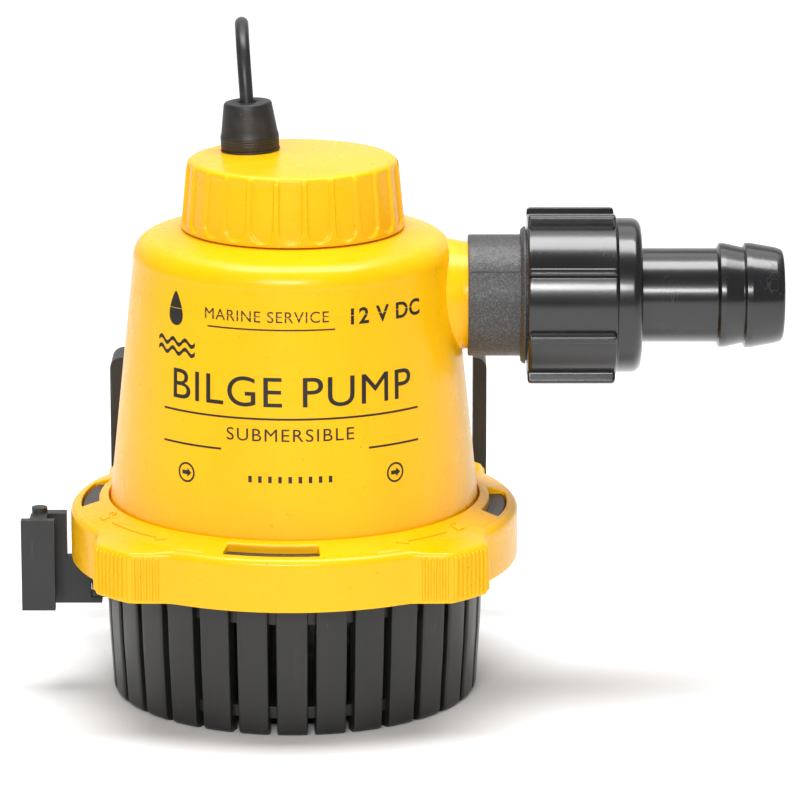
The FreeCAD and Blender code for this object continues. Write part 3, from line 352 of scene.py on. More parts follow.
def rubber(name, rgb, roughness):
    """Moulded rubber: matt bloom, soft unevenness and lint."""
    def build(g):
        bloom = g.noise(3.5, 3.0)
        lint = g.band(g.noise(0.5, 1.0), 0.70, 0.78)
        tone = g.mix(g.band(bloom, 0.3, 0.75), shade(rgb, 0.75), shade(rgb, 1.5))
        tone = g.mix(lint * 0.25, tone, shade((0.14, 0.14, 0.13), 1.0))
        return {"Base Color": tone, "Roughness": g.band(bloom, 0.2, 0.8, roughness * 0.88, roughness * 1.12),
                "Normal": g.bump(g.noise(0.3, 2.0), 0.006, g.bump(g.noise(1.8, 2.0), 0.012))}
    return new_material(name, build, specular=0.45)


def metal(name, rgb, roughness, size=0.3, stretch=(1, 1, 1), stain=(0.3, 0.27, 0.22)):
    """Worked metal: grain or tool marks along one direction, and stains."""
    def build(g):
        grain = g.noise(size, 3.0, stretch)
        cloud = g.noise(3.0, 3.0)
        tone = g.mix(g.band(grain, 0.3, 0.7), shade(rgb, 0.86), shade(rgb, 1.1))
        tone = g.mix(g.band(cloud, 0.55, 0.8) * 0.3, tone, shade(stain, 1.0))
        return {"Base Color": tone, "Roughness": g.band(grain, 0.25, 0.75, roughness * 0.8, roughness * 1.25),
                "Normal": g.bump(grain, 0.004)}
    return new_material(name, build, metallic=1.0)


def printed_ink(rgb):
    """Pad-printed ink: slightly raised, patchy and softer than the plastic."""
    def build(g):
        patch = g.noise(0.5, 3.0)
        tone = g.mix(g.band(patch, 0.55, 0.8) * 0.5, shade(rgb, 1.0), shade((0.07, 0.045, 0.01), 1.0))
        return {"Base Color": tone, "Roughness": g.band(patch, 0.3, 0.7, 0.38, 0.55),
                "Normal": g.bump(patch, 0.003)}
    return new_material("pad_print", build, specular=0.4)


def floor_paper():
    """Pale backdrop with a barely visible tooth."""
    def build(g):
        tooth = g.noise(1.0, 3.0)
        return {"Base Color": g.mix(tooth, (0.88, 0.88, 0.88, 1.0), (0.92, 0.92, 0.92, 1.0)),
                "Roughness": g.band(tooth, 0.2, 0.8, 0.7, 0.85), "Normal": g.bump(tooth, 0.01)}
    return new_material("backdrop", build)


MATERIALS = {}


def make_materials(finish):
    MATERIALS.update({
        "yellow": glossy_yellow(finish.yellow),
        "base": lug_black(finish.base_black),
        "bracket": black_plastic("bracket_black", finish.bracket_black, 0.44, 0.25, 0.006),
        "union": black_plastic("union_black", finish.union_black, 0.22, 0.5, 0.0025, 0.22, 0.006,
                               (0.25, 1, 1), specular=0.62, coat_weight=0.3,
                               coat_roughness=0.12),
        "valve": sparked_black(finish.valve_black),
        "inner": black_plastic("inner_black", (0.03, 0.03, 0.03), 0.45, 0.3, 0.008),
        "gland": rubber("gland_rubber", (0.020, 0.020, 0.020), 0.46),
        "seal": rubber("seal_rubber", (0.024, 0.024, 0.024), 0.6),
        "cord": rubber("cord_jacket", (0.018, 0.018, 0.019), 0.38),
        "tie": black_plastic("tie_nylon", (0.03, 0.03, 0.03), 0.35, 0.3, 0.004),
        "tinned": metal("tinned_copper", (0.72, 0.70, 0.67), 0.3, 0.15),
        "motor_steel": metal("motor_steel", (0.60, 0.61, 0.63), 0.35, 0.2, (1, 1, 0.05)),
        "shaft_steel": metal("shaft_steel", (0.72, 0.73, 0.75), 0.18, 0.1, (1, 1, 8)),
        "bronze": metal("sintered_bronze", (0.55, 0.36, 0.18), 0.5, 0.12),
        "core": metal("core_laminations", (0.32, 0.33, 0.35), 0.5, 0.5, (0.05, 0.05, 1)),
        "copper": metal("winding_copper", (0.72, 0.30, 0.12), 0.32, 0.4, (0.1, 0.1, 1), (0.35, 0.1, 0.04)),
        "ferrite": black_plastic("magnet_ferrite", (0.10, 0.10, 0.11), 0.6, 0.2, 0.02),
        "carbon": black_plastic("brush_carbon", (0.06, 0.06, 0.06), 0.55, 0.15, 0.02),
        "spring": metal("spring_steel", (0.6, 0.6, 0.6), 0.28, 0.2),
        "impeller": black_plastic("impeller_white", (0.78, 0.78, 0.75), 0.38, 0.3, 0.004, 0.2),
        "ink": printed_ink(finish.ink),
        "floor": floor_paper(),
    })


# ---- outlines: lists of points in millimetres -------------------------------------------------------
def rounded(corners, steps=4):
    """A closed outline; a corner (a, b, radius) becomes an arc of that radius."""
    points = []
    for index, corner in enumerate(corners):
        here = Vector(corner[:2])
        radius = corner[2] if len(corner) > 2 else 0
        if not radius:
            points.append(tuple(here))
            continue
        before = Vector(corners[index - 1][:2]) - here
        after = Vector(corners[(index + 1) % len(corners)][:2]) - here
        half = before.angle(after) / 2
        reach = min(radius / math.tan(half), 0.48 * before.length, 0.48 * after.length)
        radius = reach * math.tan(half)
        middle = (before.normalized() + after.normalized()).normalized()
        centre = here + middle * (radius / math.sin(half))
        first = here + before.normalized() * reach - centre
        last = here + after.normalized() * reach - centre
        turn = math.pi - 2 * half
        for k in range(steps + 1):
            share = k / steps
            spoke = (first * math.sin((1 - share) * turn) + last * math.sin(share * turn)) / math.sin(turn)
            points.append(tuple(centre + spoke))
    return points


def box_loop(x0, x1, y0, y1, corner=0.3, grow=0.0):
    """A rectangle with rounded corners, grown outwards by a distance."""
    r = max(corner + grow, 0.02)
    x0, x1, y0, y1 = x0 - grow, x1 + grow, y0 - grow, y1 + grow
    return rounded([(x0, y0, r), (x1, y0, r), (x1, y1, r), (x0, y1, r)], 4)


def sector_loop(middle_deg, half_deg, inner, outer, corner=0.5, grow=0.0):
    """Part of a ring with rounded corners, seen from above."""
    mean = (inner + outer) / 2
    half = math.radians(half_deg) * mean
    middle = math.radians(middle_deg)
    flat = box_loop(-half, half, inner, outer, corner, grow)
    fine = []
    for index, (s, r) in enumerate(flat):
        s2, r2 = flat[(index + 1) % len(flat)]
        steps = max(1, int(abs(s2 - s) / 0.8))
        fine += [(s + (s2 - s) * k / steps, r + (r2 - r) * k / steps) for k in range(steps)]
    return [(r * math.cos(middle + s / mean), r * math.sin(middle + s / mean)) for s, r in fine]


# ---- meshes ---------------------------------------------------------------------------------------------
def new_object(name, mesh_builder):
    """A linked object in metres whose mesh a function fills in millimetres."""
    sculpt = bmesh.new()
    mesh_builder(sculpt)
    bmesh.ops.remove_doubles(sculpt, verts=sculpt.verts, dist=1e-5)
    bmesh.ops.recalc_face_normals(sculpt, faces=sculpt.faces)
    bmesh.ops.scale(sculpt, vec=(MM, MM, MM), verts=sculpt.verts)
    mesh = bpy.data.meshes.new(name)
    sculpt.to_mesh(mesh)
    sculpt.free()
    obj = bpy.data.objects.new(name, mesh)
    bpy.context.scene.collection.objects.link(obj)
    return obj


def bridge(sculpt, rows, closed_rows=False):
    """Quads between rows of vertices; a row of one vertex is a pole."""
    pairs = list(zip(rows, rows[1:]))
    if closed_rows:
        pairs.append((rows[-1], rows[0]))
    for lower, upper in pairs:
        count = max(len(lower), len(upper))
        for i in range(count if count > 1 else 0):
            j = (i + 1) % count
            corners = [lower[i % len(lower)], lower[j % len(lower)], upper[j % len(upper)],
                       upper[i % len(upper)]]
            unique = list(dict.fromkeys(corners))
            if len(unique) > 2:
                sculpt.faces.new(unique)


def turned(name, profile, segments=ROUND, axis="Z", closed=True):
    """A solid of revolution from (radius, height) points, or (x, radius) points about the outlet."""
    def build(sculpt):
        rows = []
        for a, b in profile:
            radius, along = (a, b) if axis == "Z" else (b, a)
            steps = 1 if radius < 1e-6 else segments
            row = []
            for k in range(steps):
                angle = 2 * math.pi * k / segments
                c, s = radius * math.cos(angle), radius * math.sin(angle)
                row.append(sculpt.verts.new((c, s, along) if axis == "Z" else (along, c, s + OUTLET_Z)))
            rows.append(row)
        bridge(sculpt, rows, closed)
    return new_object(name, build)


def lofted(name, loops):
    """A closed solid through loops of 3D points, capped at both ends."""
    def build(sculpt):
        rows = [[sculpt.verts.new(p) for p in loop] for loop in loops]
        bridge(sculpt, rows)
        sculpt.faces.new(rows[0])
        sculpt.faces.new(rows[-1])
    return new_object(name, build)


def raised(name, outline, z0, z1, edge=0.3):
    """An upright solid from outline(grow), with its top and bottom edges rounded."""
    arc = [(edge * (1 - math.cos(a)), edge * (1 - math.sin(a)))
           for a in (math.radians(d) for d in (90, 60, 30, 0))]
    loops = [[(x, y, z0 + rise) for x, y in outline(inset - edge)] for inset, rise in arc]
    for _, drop in reversed(arc):
        loops.append([(x, y, z1 - drop) for x, y in outline(-inset_of(edge, drop))])
    return lofted(name, loops)


def inset_of(edge, drop):
    """How far a quarter-round edge stands in at a distance from its face."""
    rest = edge - min(drop, edge)
    return edge - math.sqrt(max(edge * edge - rest * rest, 0.0))


def cutter(name, outline, z0, face, edge=0.35):
    """A tool for a hole from z0 up through the height face(x, y), which leaves the rim rounded."""
    loops = [[(x, y, z0) for x, y in outline(0.0)]]
    for k in range(5):
        drop = edge * (1 - k / 4)
        loops.append([(x, y, face(x, y) - drop) for x, y in outline(inset_of(edge, drop))])
    loops.append([(x, y, face(x, y) + 1.0) for x, y in outline(edge)])
    return lofted(name, loops)


def ring_face(x, y):
    """Height of the lock ring's sloping top."""
    share = (math.hypot(x, y) - 38.2) / (RING_R - 1.4 - 38.2)
    return RING_TOP - RING_FALL * min(max(share, 0.0), 1.0)


def apply_modifiers(obj):
    """Turns what the modifiers give into the object's own plain mesh."""
    graph = bpy.context.evaluated_depsgraph_get()
    mesh = bpy.data.meshes.new_from_object(obj.evaluated_get(graph), depsgraph=graph)
    obj.modifiers.clear()
    old = obj.data
    obj.data = mesh
    if old.users == 0 and isinstance(old, bpy.types.Mesh):
        bpy.data.meshes.remove(old)
    return obj


def remove(*objects):
    for obj in objects:
        bpy.data.objects.remove(obj, do_unlink=True)


def combine(obj, others, operation="UNION"):
    """Exact boolean of a piece with others, which are used up."""
    for other in others:
        tool = obj.modifiers.new("combine", "BOOLEAN")
        tool.operation = operation
        tool.solver = "EXACT"
        tool.object = other
    apply_modifiers(obj)
    remove(*others)
    return obj


def joined(name, objects):
    """One object from several closed shells."""
    sculpt = bmesh.new()
    for obj in objects:
        sculpt.from_mesh(obj.data)
    mesh = bpy.data.meshes.new(name)
    sculpt.to_mesh(mesh)
    sculpt.free()
    remove(*objects)
    obj = bpy.data.objects.new(name, mesh)
    bpy.context.scene.collection.objects.link(obj)
    return obj


def cad_copy(node, name, bevel=0.0):
    """A merged copy of a CAD node, with its edges rounded."""
    sculpt = bmesh.new()
    sculpt.from_mesh(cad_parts[node].data)
    bmesh.ops.remove_doubles(sculpt, verts=sculpt.verts, dist=2e-6)
    bmesh.ops.dissolve_limit(sculpt, angle_limit=math.radians(0.6), verts=sculpt.verts,
                             edges=sculpt.edges)
    mesh = bpy.data.meshes.new(name)
    sculpt.to_mesh(mesh)
    sculpt.free()
    obj = bpy.data.objects.new(name, mesh)
    bpy.context.scene.collection.objects.link(obj)
    if bevel:
        edge = obj.modifiers.new("edges", "BEVEL")
        edge.width = bevel * MM
        edge.segments = 3
        edge.limit_method = "ANGLE"
        edge.angle_limit = math.radians(40)
        apply_modifiers(obj)
    return obj


def finish(obj, body, slot, material, *nodes, sharp=38):
    """Shades a piece, gives it its material and body, and hides the nodes it stands for; the slot is not
    used.
    """
    mesh = obj.data
    mesh.materials.clear()
    mesh.materials.append(MATERIALS[material])
    mesh.polygons.foreach_set("material_index", [0] * len(mesh.polygons))
    mesh.shade_smooth()
    mesh.set_sharp_from_angle(angle=math.radians(sharp))
    weighted = obj.modifiers.new("normals", "WEIGHTED_NORMAL")
    weighted.keep_sharp = True
    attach(obj, body)
    if nodes:
        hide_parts(*nodes)
    return obj


# ---- geometry node trees ---------------------------------------------------------------------
def node_group(name, inputs):
    """A geometry tree with named inputs; gives its graph, its input node's sockets and its end."""
    tree = bpy.data.node_groups.new(name, "GeometryNodeTree")
    tree.interface.new_socket("Geometry", in_out="INPUT", socket_type="NodeSocketGeometry")
    for label, kind in inputs:
        tree.interface.new_socket(label, in_out="INPUT", socket_type=kind)
    tree.interface.new_socket("Geometry", in_out="OUTPUT", socket_type="NodeSocketGeometry")
    graph = Graph(tree)
    source = tree.nodes.new("NodeGroupInput")
    sockets = {s.name: Value(graph, s) for s in source.outputs if s.name}
    return graph, sockets


def run_nodes(obj, tree, values):
    """Runs a tree on an object with its named inputs set, and keeps the plain mesh."""
    modifier = obj.modifiers.new(tree.name, "NODES")
    modifier.node_group = tree
    for item in tree.interface.items_tree:
        if item.in_out == "INPUT" and item.name in values:
            modifier[item.identifier] = values[item.name]
    return apply_modifiers(obj)


def around_tree():
    """Repeats a cell round an axis through a centre, then closes the seams."""
    graph, given = node_group("repeat_round_axis", [
        ("Count", "NodeSocketInt"), ("Phase", "NodeSocketFloat"), ("Axis", "NodeSocketVector"),
        ("Centre", "NodeSocketVector"), ("Seam", "NodeSocketFloat"), ("Material", "NodeSocketMaterial")])
    points = graph.node("GeometryNodePoints", {}, {"Count": given["Count"], "Position": given["Centre"]})
    index = graph.node("GeometryNodeInputIndex")
    angle = index * (2 * math.pi) / given["Count"] + given["Phase"]
    turn = graph.node("FunctionNodeAxisAngleToRotation", {}, {"Axis": given["Axis"], "Angle": angle})
    placed = graph.node("GeometryNodeInstanceOnPoints", {}, {
        "Points": points, "Instance": given["Geometry"], "Rotation": turn})
    real = graph.node("GeometryNodeRealizeInstances", {}, (placed,))
    closed = graph.node("GeometryNodeMergeByDistance", {}, {"Geometry": real, "Distance": given["Seam"]})
    made = graph.node("GeometryNodeSetMaterial", {}, {"Geometry": closed, "Material": given["Material"]})
    graph.node("NodeGroupOutput", {}, (made,))
    return graph.tree


def along_tree():
    """Stands a piece on every point of a mesh, turned by the point's own angle."""
    graph, given = node_group("stand_on_points", [
        ("Piece", "NodeSocketObject"), ("Material", "NodeSocketMaterial")])
    piece = graph.node("GeometryNodeObjectInfo", {}, {"Object": given["Piece"]}, out=4)
    angle = graph.node("GeometryNodeInputNamedAttribute", {"data_type": "FLOAT"}, {"Name": "facing"})
    turn = graph.node("FunctionNodeAxisAngleToRotation", {}, {"Axis": (0, 0, 1), "Angle": angle})
    points = graph.node("GeometryNodeMeshToPoints", {}, {"Mesh": given["Geometry"]})
    placed = graph.node("GeometryNodeInstanceOnPoints", {}, {
        "Points": points, "Instance": piece, "Rotation": turn})
    real = graph.node("GeometryNodeRealizeInstances", {}, (placed,))
    made = graph.node("GeometryNodeSetMaterial", {}, {"Geometry": real, "Material": given["Material"]})
    graph.node("NodeGroupOutput", {}, (made,))
    return graph.tree


TREES = {}


def repeat_round(obj, count, phase, material, axis=(0, 0, 1), centre=(0, 0, 0), seam=0.0):
    if "around" not in TREES:
        TREES["around"] = around_tree()
    return run_nodes(obj, TREES["around"], {
        "Count": count, "Phase": phase, "Axis": axis, "Centre": centre, "Seam": seam,
        "Material": MATERIALS[material]})


def stand_on_points(name, piece, places, material):
    """One object with a copy of piece at each (x, y, z, angle) place."""
    if "along" not in TREES:
        TREES["along"] = along_tree()
    mesh = bpy.data.meshes.new(name)
    mesh.from_pydata([(x * MM, y * MM, z * MM) for x, y, z, _ in places], [], [])
    facing = mesh.attributes.new("facing", "FLOAT", "POINT")
    facing.data.foreach_set("value", [angle for _, _, _, angle in places])
    obj = bpy.data.objects.new(name, mesh)
    bpy.context.scene.collection.objects.link(obj)
    run_nodes(obj, TREES["along"], {"Piece": piece, "Material": MATERIALS[material]})
    remove(piece)
    return obj


# ---- operators -------------------------------------------------------------------------------
class PUMP_OT_materials(bpy.types.Operator):
    """Make the finishes and give them to the inner pieces, which keep their own shapes"""
    bl_idname = "pump.materials"
    bl_label = "Finishes"

    def execute(self, context):
        pump = context.scene.bilge_pump
        make_materials(pump.finish)
        inner = {
            "seal": ("base_seal", "cap_seal", "shaft_seal", "union_gasket", "valve_flap"),
            "inner": ("intake_plate", "cartridge_shell", "end_plate"),
            "motor_steel": ("motor_can",), "bronze": ("lower_bearing", "upper_bearing"),
            "ferrite": ("magnets",), "carbon": ("brushes",), "spring": ("brush_springs",),
            "cord": ("motor_leads",), "shaft_steel": ("motor_shaft", "valve_pin"),
            "core": ("armature_core",), "copper": ("armature_windings", "commutator"),
            "impeller": ("impeller",),
        }
        for material, nodes in inner.items():
            for node in nodes:
                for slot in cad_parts[node].material_slots:
                    slot.link = "OBJECT"
                    slot.material = MATERIALS[material]
        return {"FINISHED"}


class PUMP_OT_strainer(bpy.types.Operator):
    """Build the strainer base: thirty slats on a rim and a floor, lugs, sockets and screw bosses"""
    bl_idname = "pump.strainer"
    bl_label = "Strainer base"

    def execute(self, context):
        pump = context.scene.bilge_pump
        sizes = pump.strainer
        top_r, foot_r = sizes.top_radius / MM, sizes.foot_radius / MM
        height, wall = sizes.height / MM, sizes.wall / MM
        half_slot = sizes.slot / MM / 2
        half_cell = math.pi / sizes.slats

        def slat_r(z):
            return foot_r + (top_r - foot_r) * z / height

        def slat_loop(z, inset):
            """One slat in plan, its outer corners rounded."""
            corner = 0.45
            outer, inner = slat_r(z) - inset, slat_r(z) - wall
            loop = []
            side_r = outer - corner
            edge = half_cell - math.asin(half_slot / side_r) - corner / side_r
            for k in range(-5, 6):
                loop.append((outer, edge * k / 5))
            for degrees in (30, 60, 90):
                bend = math.radians(degrees)
                loop.append((side_r + corner * math.cos(bend), edge + corner * math.sin(bend) / side_r))
            inner_edge = half_cell - math.asin(half_slot / inner)
            loop += [(inner, inner_edge * k / 2) for k in (2, 0, -2)]
            for degrees in (90, 60, 30):
                bend = math.radians(degrees)
                loop.append((side_r + corner * math.cos(bend), -edge - corner * math.sin(bend) / side_r))
            return [(r * math.cos(a), r * math.sin(a), z) for r, a in loop]

        levels = [(0.0, 1.15), (0.12, 0.85), (0.45, 0.42), (0.85, 0.12), (1.3, 0.0),
                  (height / 2, 0.0), (height + 0.6, 0.35)]
        slats = lofted("strainer_base", [slat_loop(z, inset) for z, inset in levels])
        phase = sizes.phase + half_cell
        slats = repeat_round(slats, sizes.slats, phase, "base")

        rim_top = RING_TOP - 4.6
        bore = top_r - wall
        web = 1.8
        rim = turned("rim", rounded([
            (bore, rim_top, 0.3), (top_r, rim_top, 0.3), (top_r, height, 0.2),
            (top_r - web, height, 0.2), (slat_r(23) - web, 23, 0.25),
            (slat_r(23) - wall + 0.02, 23, 0.2), (bore, height)]))
        foot, floor = 3.3, 5.3
        tray = turned("tray", [(0, floor)] + rounded([
            (30.0, floor), (slat_r(floor) - wall + 0.03, floor, 0.15),
            (slat_r(floor) - wall + 0.03, floor + 0.5, 0.1), (slat_r(floor) - web, floor + 0.5, 0.2),
            (slat_r(foot) - web, foot, 0.2), (9.0, foot), (7.0, foot, 0.3), (7.0, 0, 0.3),
            (3.0, 0)]) + [(0, 0)], closed=False)
        lugs = [raised("lug", lambda grow, a=azimuth: sector_loop(a, 14.5, top_r - 0.5, RING_CAVITY_R - 0.3,
                                                                  0.6, grow), 33.4, 38.55, 0.35)
                for azimuth in LUG_AZIMUTHS]
        bosses, holes = [], []
        for k in range(4):
            spot = Vector((25 * math.cos(math.radians(45 + 90 * k)),
                           25 * math.sin(math.radians(45 + 90 * k))))
            for radius, z0, z1, group in ((4.4, 0, floor + 0.01, bosses), (2.25, -1, floor + 1, holes)):
                ring = [(spot.x + radius * math.cos(t), spot.y + radius * math.sin(t))
                        for t in (2 * math.pi * i / 32 for i in range(32))]
                group.append(lofted("boss", [[(x, y, z) for x, y in ring] for z in (z0, z1)]))
        sockets, grooves = [], []
        for azimuth in (180, 90):
            turn = Matrix.Rotation(math.radians(azimuth), 4, "Z")
            pad = raised("socket", lambda grow: box_loop(36.2, 41.6, -4.6, 4.6, 0.5, grow),
                         19.5, height - 0.02, 0.3)
            slot = lofted("groove", [[(x, y, z) for x, y in (
                (38.8, -2.7), (40.3, -2.7), (40.3, -1.5), (43, -1.5), (43, 1.5), (40.3, 1.5),
                (40.3, 2.7), (38.8, 2.7))] for z in (21.5, 30)])
            for obj in (pad, slot):
                obj.data.transform(turn)
            sockets.append(pad)
            grooves.append(slot)
        base = combine(slats, [rim, tray])
        base = combine(base, bosses + lugs + sockets)
        base = combine(base, holes + grooves, "DIFFERENCE")
        finish(base, "pump_body", "base_black", "base", "strainer_base", sharp=32)
        return {"FINISHED"}


class PUMP_OT_lock_ring(bpy.types.Operator):
    """Build the twist-lock ring with its grip pads, ribs, windows and raised marks"""
    bl_idname = "pump.lock_ring"
    bl_label = "Lock ring"

    def execute(self, context):
        pump = context.scene.bilge_pump
        sizes = pump.ring
        edge = sizes.edge / MM
        pad_half, pad_corner = sizes.pad_half / MM, sizes.pad_corner / MM
        drop = sizes.pad_drop / MM
        hole, bottom, ceiling = 37.8, RING_LOW.z, RING_TOP - 2.2

        def soft_max(a, b, blend):
            return 0.5 * (a + b + math.sqrt((a - b) ** 2 + blend ** 2))

        def outline_r(angle):
            square = pad_half / max(abs(math.cos(angle)), abs(math.sin(angle)))
            pad = -soft_max(-square, -pad_corner, 0.5)
            return soft_max(RING_R, pad, 0.5) - 0.02

        def section(angle):
            outer = outline_r(angle)
            share = min(max((outer - RING_R - 0.3) / 2.0, 0.0), 1.0)
            top = RING_TOP - RING_FALL - drop * share
            rim = edge * (1 - 0.35 * share)
            loop = [(outer - 0.3, bottom), (outer - 0.08, bottom + 0.1), (outer, bottom + 0.35)]
            loop += [(outer, bottom + 4), (outer, top - rim - 0.6)]
            for k in range(7):
                bend = math.pi / 2 * k / 6
                loop.append((outer - rim + rim * math.cos(bend), top - rim + rim * math.sin(bend)))
            flat_r = min(outer - rim - 0.05, RING_R - edge - 0.05)
            loop += [(flat_r, ring_face(flat_r, 0)), (43.0, ring_face(43.0, 0)), (41.0, ring_face(41.0, 0)),
                     (39.5, ring_face(39.5, 0)), (hole + 0.35, RING_TOP)]
            loop += [(hole + 0.1, RING_TOP - 0.1), (hole, RING_TOP - 0.35), (hole, ceiling + 0.25),
                     (hole + 0.25, ceiling), (RING_CAVITY_R - 0.5, ceiling), (RING_CAVITY_R, ceiling - 0.5),
                     (RING_CAVITY_R, bottom + 0.3), (RING_CAVITY_R + 0.3, bottom)]
            return loop

        def build_ring(sculpt):
            steps = 720
            rows = []
            for k in range(steps):
                angle = 2 * math.pi * (k + 0.5) / steps
                c, s = math.cos(angle), math.sin(angle)
                rows.append([sculpt.verts.new((r * c, r * s, z)) for r, z in section(angle)])
            bridge(sculpt, rows, True)

        ring = new_object("lock_ring", build_ring)
        tools = [cutter("window", lambda grow, a=a: sector_loop(a, 12.9, 39.8, RING_CAVITY_R, 0.5, grow),
                        ceiling - 1.0, ring_face, 0.35) for a in LUG_AZIMUTHS]
        combine(ring, tools, "DIFFERENCE")
        tabs = [raised("tab", lambda grow, a=a: sector_loop(a, 7, 40.2, RING_CAVITY_R + 0.4, 0.4, grow),
                       30.6, 33.1, 0.25) for a in LUG_AZIMUTHS]
        combine(ring, tabs)
        finish(ring, "lock_ring", "ring_yellow", "yellow", "lock_ring", sharp=40)

        pitch = sizes.rib_pitch / MM
        half = sizes.rib_width / MM / 2
        places = []
        for quarter in range(4):
            turn = math.radians(45 + 90 * quarter)
            corner_half = math.asin(math.sqrt(pad_corner ** 2 - pad_half ** 2) / pad_corner)
            arc_half = math.pi / 4 - corner_half
            for k in range(8):
                angle = (k - 3.5) * pitch * 1.02 / pad_corner
                if abs(angle) < arc_half:
                    facing = turn + angle
                    places.append((pad_corner * math.cos(facing), pad_corner * math.sin(facing), facing))
            for side in (-1, 1):
                facing = turn + side * math.pi / 4
                for k in range(5):
                    along = side * -(30.9 - k * pitch)
                    x = pad_half * math.cos(facing) - along * math.sin(facing)
                    y = pad_half * math.sin(facing) + along * math.cos(facing)
                    places.append((x, y, facing))
        low, high = bottom + 0.45, RING_TOP - RING_FALL - drop - 0.85

        def rib_loop(z, rise, width):
            return [(rise * math.cos(t) - 0.25, width * math.sin(t), z) for t in
                    (math.radians(d) for d in (-90, -60, -30, 0, 30, 60, 90))] + [
                        (-0.5, width, z), (-0.5, -width, z)]

        rib = lofted("rib", [rib_loop(low, 0.3, half * 0.6), rib_loop(low + 0.3, 0.66, half),
                             rib_loop(high - 0.5, 0.66, half), rib_loop(high - 0.1, 0.5, half * 0.85),
                             rib_loop(high + 0.15, 0.24, half * 0.5)])
        ribs = stand_on_points("lock_ring_ribs", rib, [(x, y, 0, a) for x, y, a in places], "yellow")
        finish(ribs, "lock_ring", "ring_yellow", "yellow", sharp=60)
        self.marks()
        return {"FINISHED"}

    def marks(self):
        """Raised turn arrows and padlocks on the ring's top, one open and one closed."""
        shapes = []
        top = RING_TOP

        def mark(outline):
            shape = raised("mark", outline, top - 0.15, top + 0.3, 0.1)
            for vert in shape.data.vertices:
                vert.co.z += (ring_face(vert.co.x / MM, vert.co.y / MM) - top) * MM
            shapes.append(shape)

        for start, end, direction in ((-150, -126, 1), (-60, -42, -1)):
            tip, back = (end, start) if direction > 0 else (start, end)
            middle, half = (start + end) / 2, abs(end - start) / 2 - 1.5
            mark(lambda grow, m=middle - direction * 1.5, h=half: sector_loop(m, h, 41.15, 41.75, 0.2, grow))
            head = []
            for r, turn in ((41.45, tip), (42.6, tip - direction * 3.4), (40.3, tip - direction * 3.4)):
                head.append((r * math.cos(math.radians(turn)), r * math.sin(math.radians(turn))))
            centre = Vector((sum(p[0] for p in head) / 3, sum(p[1] for p in head) / 3))
            mark(lambda grow, h=head, c=centre: [tuple(c + (Vector(p) - c) * (1 + grow / 0.9)) for p in h])
            spot_deg = back - direction * 5.5
            spot = Vector((41.3 * math.cos(math.radians(spot_deg)), 41.3 * math.sin(math.radians(spot_deg))))
            turn = Matrix.Rotation(math.radians(spot_deg + 90), 2)
            body = box_loop(-1.1, 1.1, -1.0, 0.7, 0.2)
            mark(lambda grow, b=body, t=turn, s=spot: [tuple(s + t @ (Vector(p) * (1 + grow))) for p in b])
            lift = 0.5 if direction > 0 else 0.0
            bow = [(1.0 * math.cos(a), 0.7 + lift + 1.1 * math.sin(a)) for a in
                   (math.pi * k / 10 for k in range(11))]
            bow += [(0.6 * math.cos(a), 0.7 + lift + 0.7 * math.sin(a)) for a in
                    (math.pi * k / 10 for k in range(10, -1, -1))]
            mark(lambda grow, b=bow, t=turn, s=spot: [tuple(s + t @ Vector(p)) for p in b])
        finish(joined("lock_ring_marks", shapes), "lock_ring", "ring_yellow", "yellow", sharp=50)


class PUMP_OT_housing(bpy.types.Operator):
    """Build the tapered housing with its flange, neck and outlet spigot"""
    bl_idname = "pump.housing"
    bl_label = "Pump housing"

    def execute(self, context):
        pump = context.scene.bilge_pump
        sizes = pump.housing
        wall = sizes.wall / MM
        shoulder = sizes.shoulder / MM
        top_r = sizes.top_radius / MM
        flange_top = RING_TOP - 2.3
        neck_top = HOUSING_HIGH.z
        foot_r = taper_radius(sizes, flange_top)
        seam = shoulder - 5.0
        seam_r = taper_radius(sizes, seam)
        arc = shoulder_arc((top_r, shoulder), (top_r - 1.0, shoulder + 3.4),
                           (top_r - 3.7, shoulder + 5.0), 14)
        shell = turned("pump_housing", rounded([
            (32.2, 31.5, 0.3), (35.0, 31.5, 0.4), (35.0, 36.2), (42.8, 36.2, 0.3), (42.8, flange_top, 0.3),
            (foot_r, flange_top, 0.15), (taper_radius(sizes, 60), 60), (seam_r, seam - 0.12),
            (seam_r + 0.05, seam), (seam_r - 0.02, seam + 0.12)]
            + arc + [(23.2, neck_top, 0.3), (21.2, neck_top, 0.3), (21.2, 85.5, 0.2), (24.0, 85.5, 0.2),
                     (24.0, shoulder + 2.8), (27.6, shoulder + 2.8), (top_r - wall, shoulder - 1),
                     (foot_r - wall, flange_top + 1), (32.2, 35.7)]), 256)
        spigot_r = sizes.spigot_radius / MM
        end = HOUSING_HIGH.x
        root = taper_radius(sizes, OUTLET_Z) - wall - 1.0
        spigot = turned("spigot", rounded([
            (root, 0), (end, 0), (end, spigot_r, 0.3), (35.4, spigot_r), (34.2, spigot_r + 0.12, 0.5),
            (33.0, spigot_r + 0.45), (root, spigot_r + 0.9)]), 96, "X", False)
        close_ends(spigot)
        bore = turned("bore", [(20, 0), (20, spigot_r - 2), (end + 2, spigot_r - 2), (end + 2, 0)], 96, "X",
                      False)
        close_ends(bore)
        notches = [raised("notch", lambda grow, a=a: sector_loop(a, 15, 38.3, 44, 0.3, grow), 35, 40, 0.1)
                   for a in LUG_AZIMUTHS]
        housing = combine(shell, [spigot])
        housing = combine(housing, [bore] + notches, "DIFFERENCE")
        finish(housing, "pump_body", "pump_yellow", "yellow", "pump_housing", sharp=38)
        return {"FINISHED"}


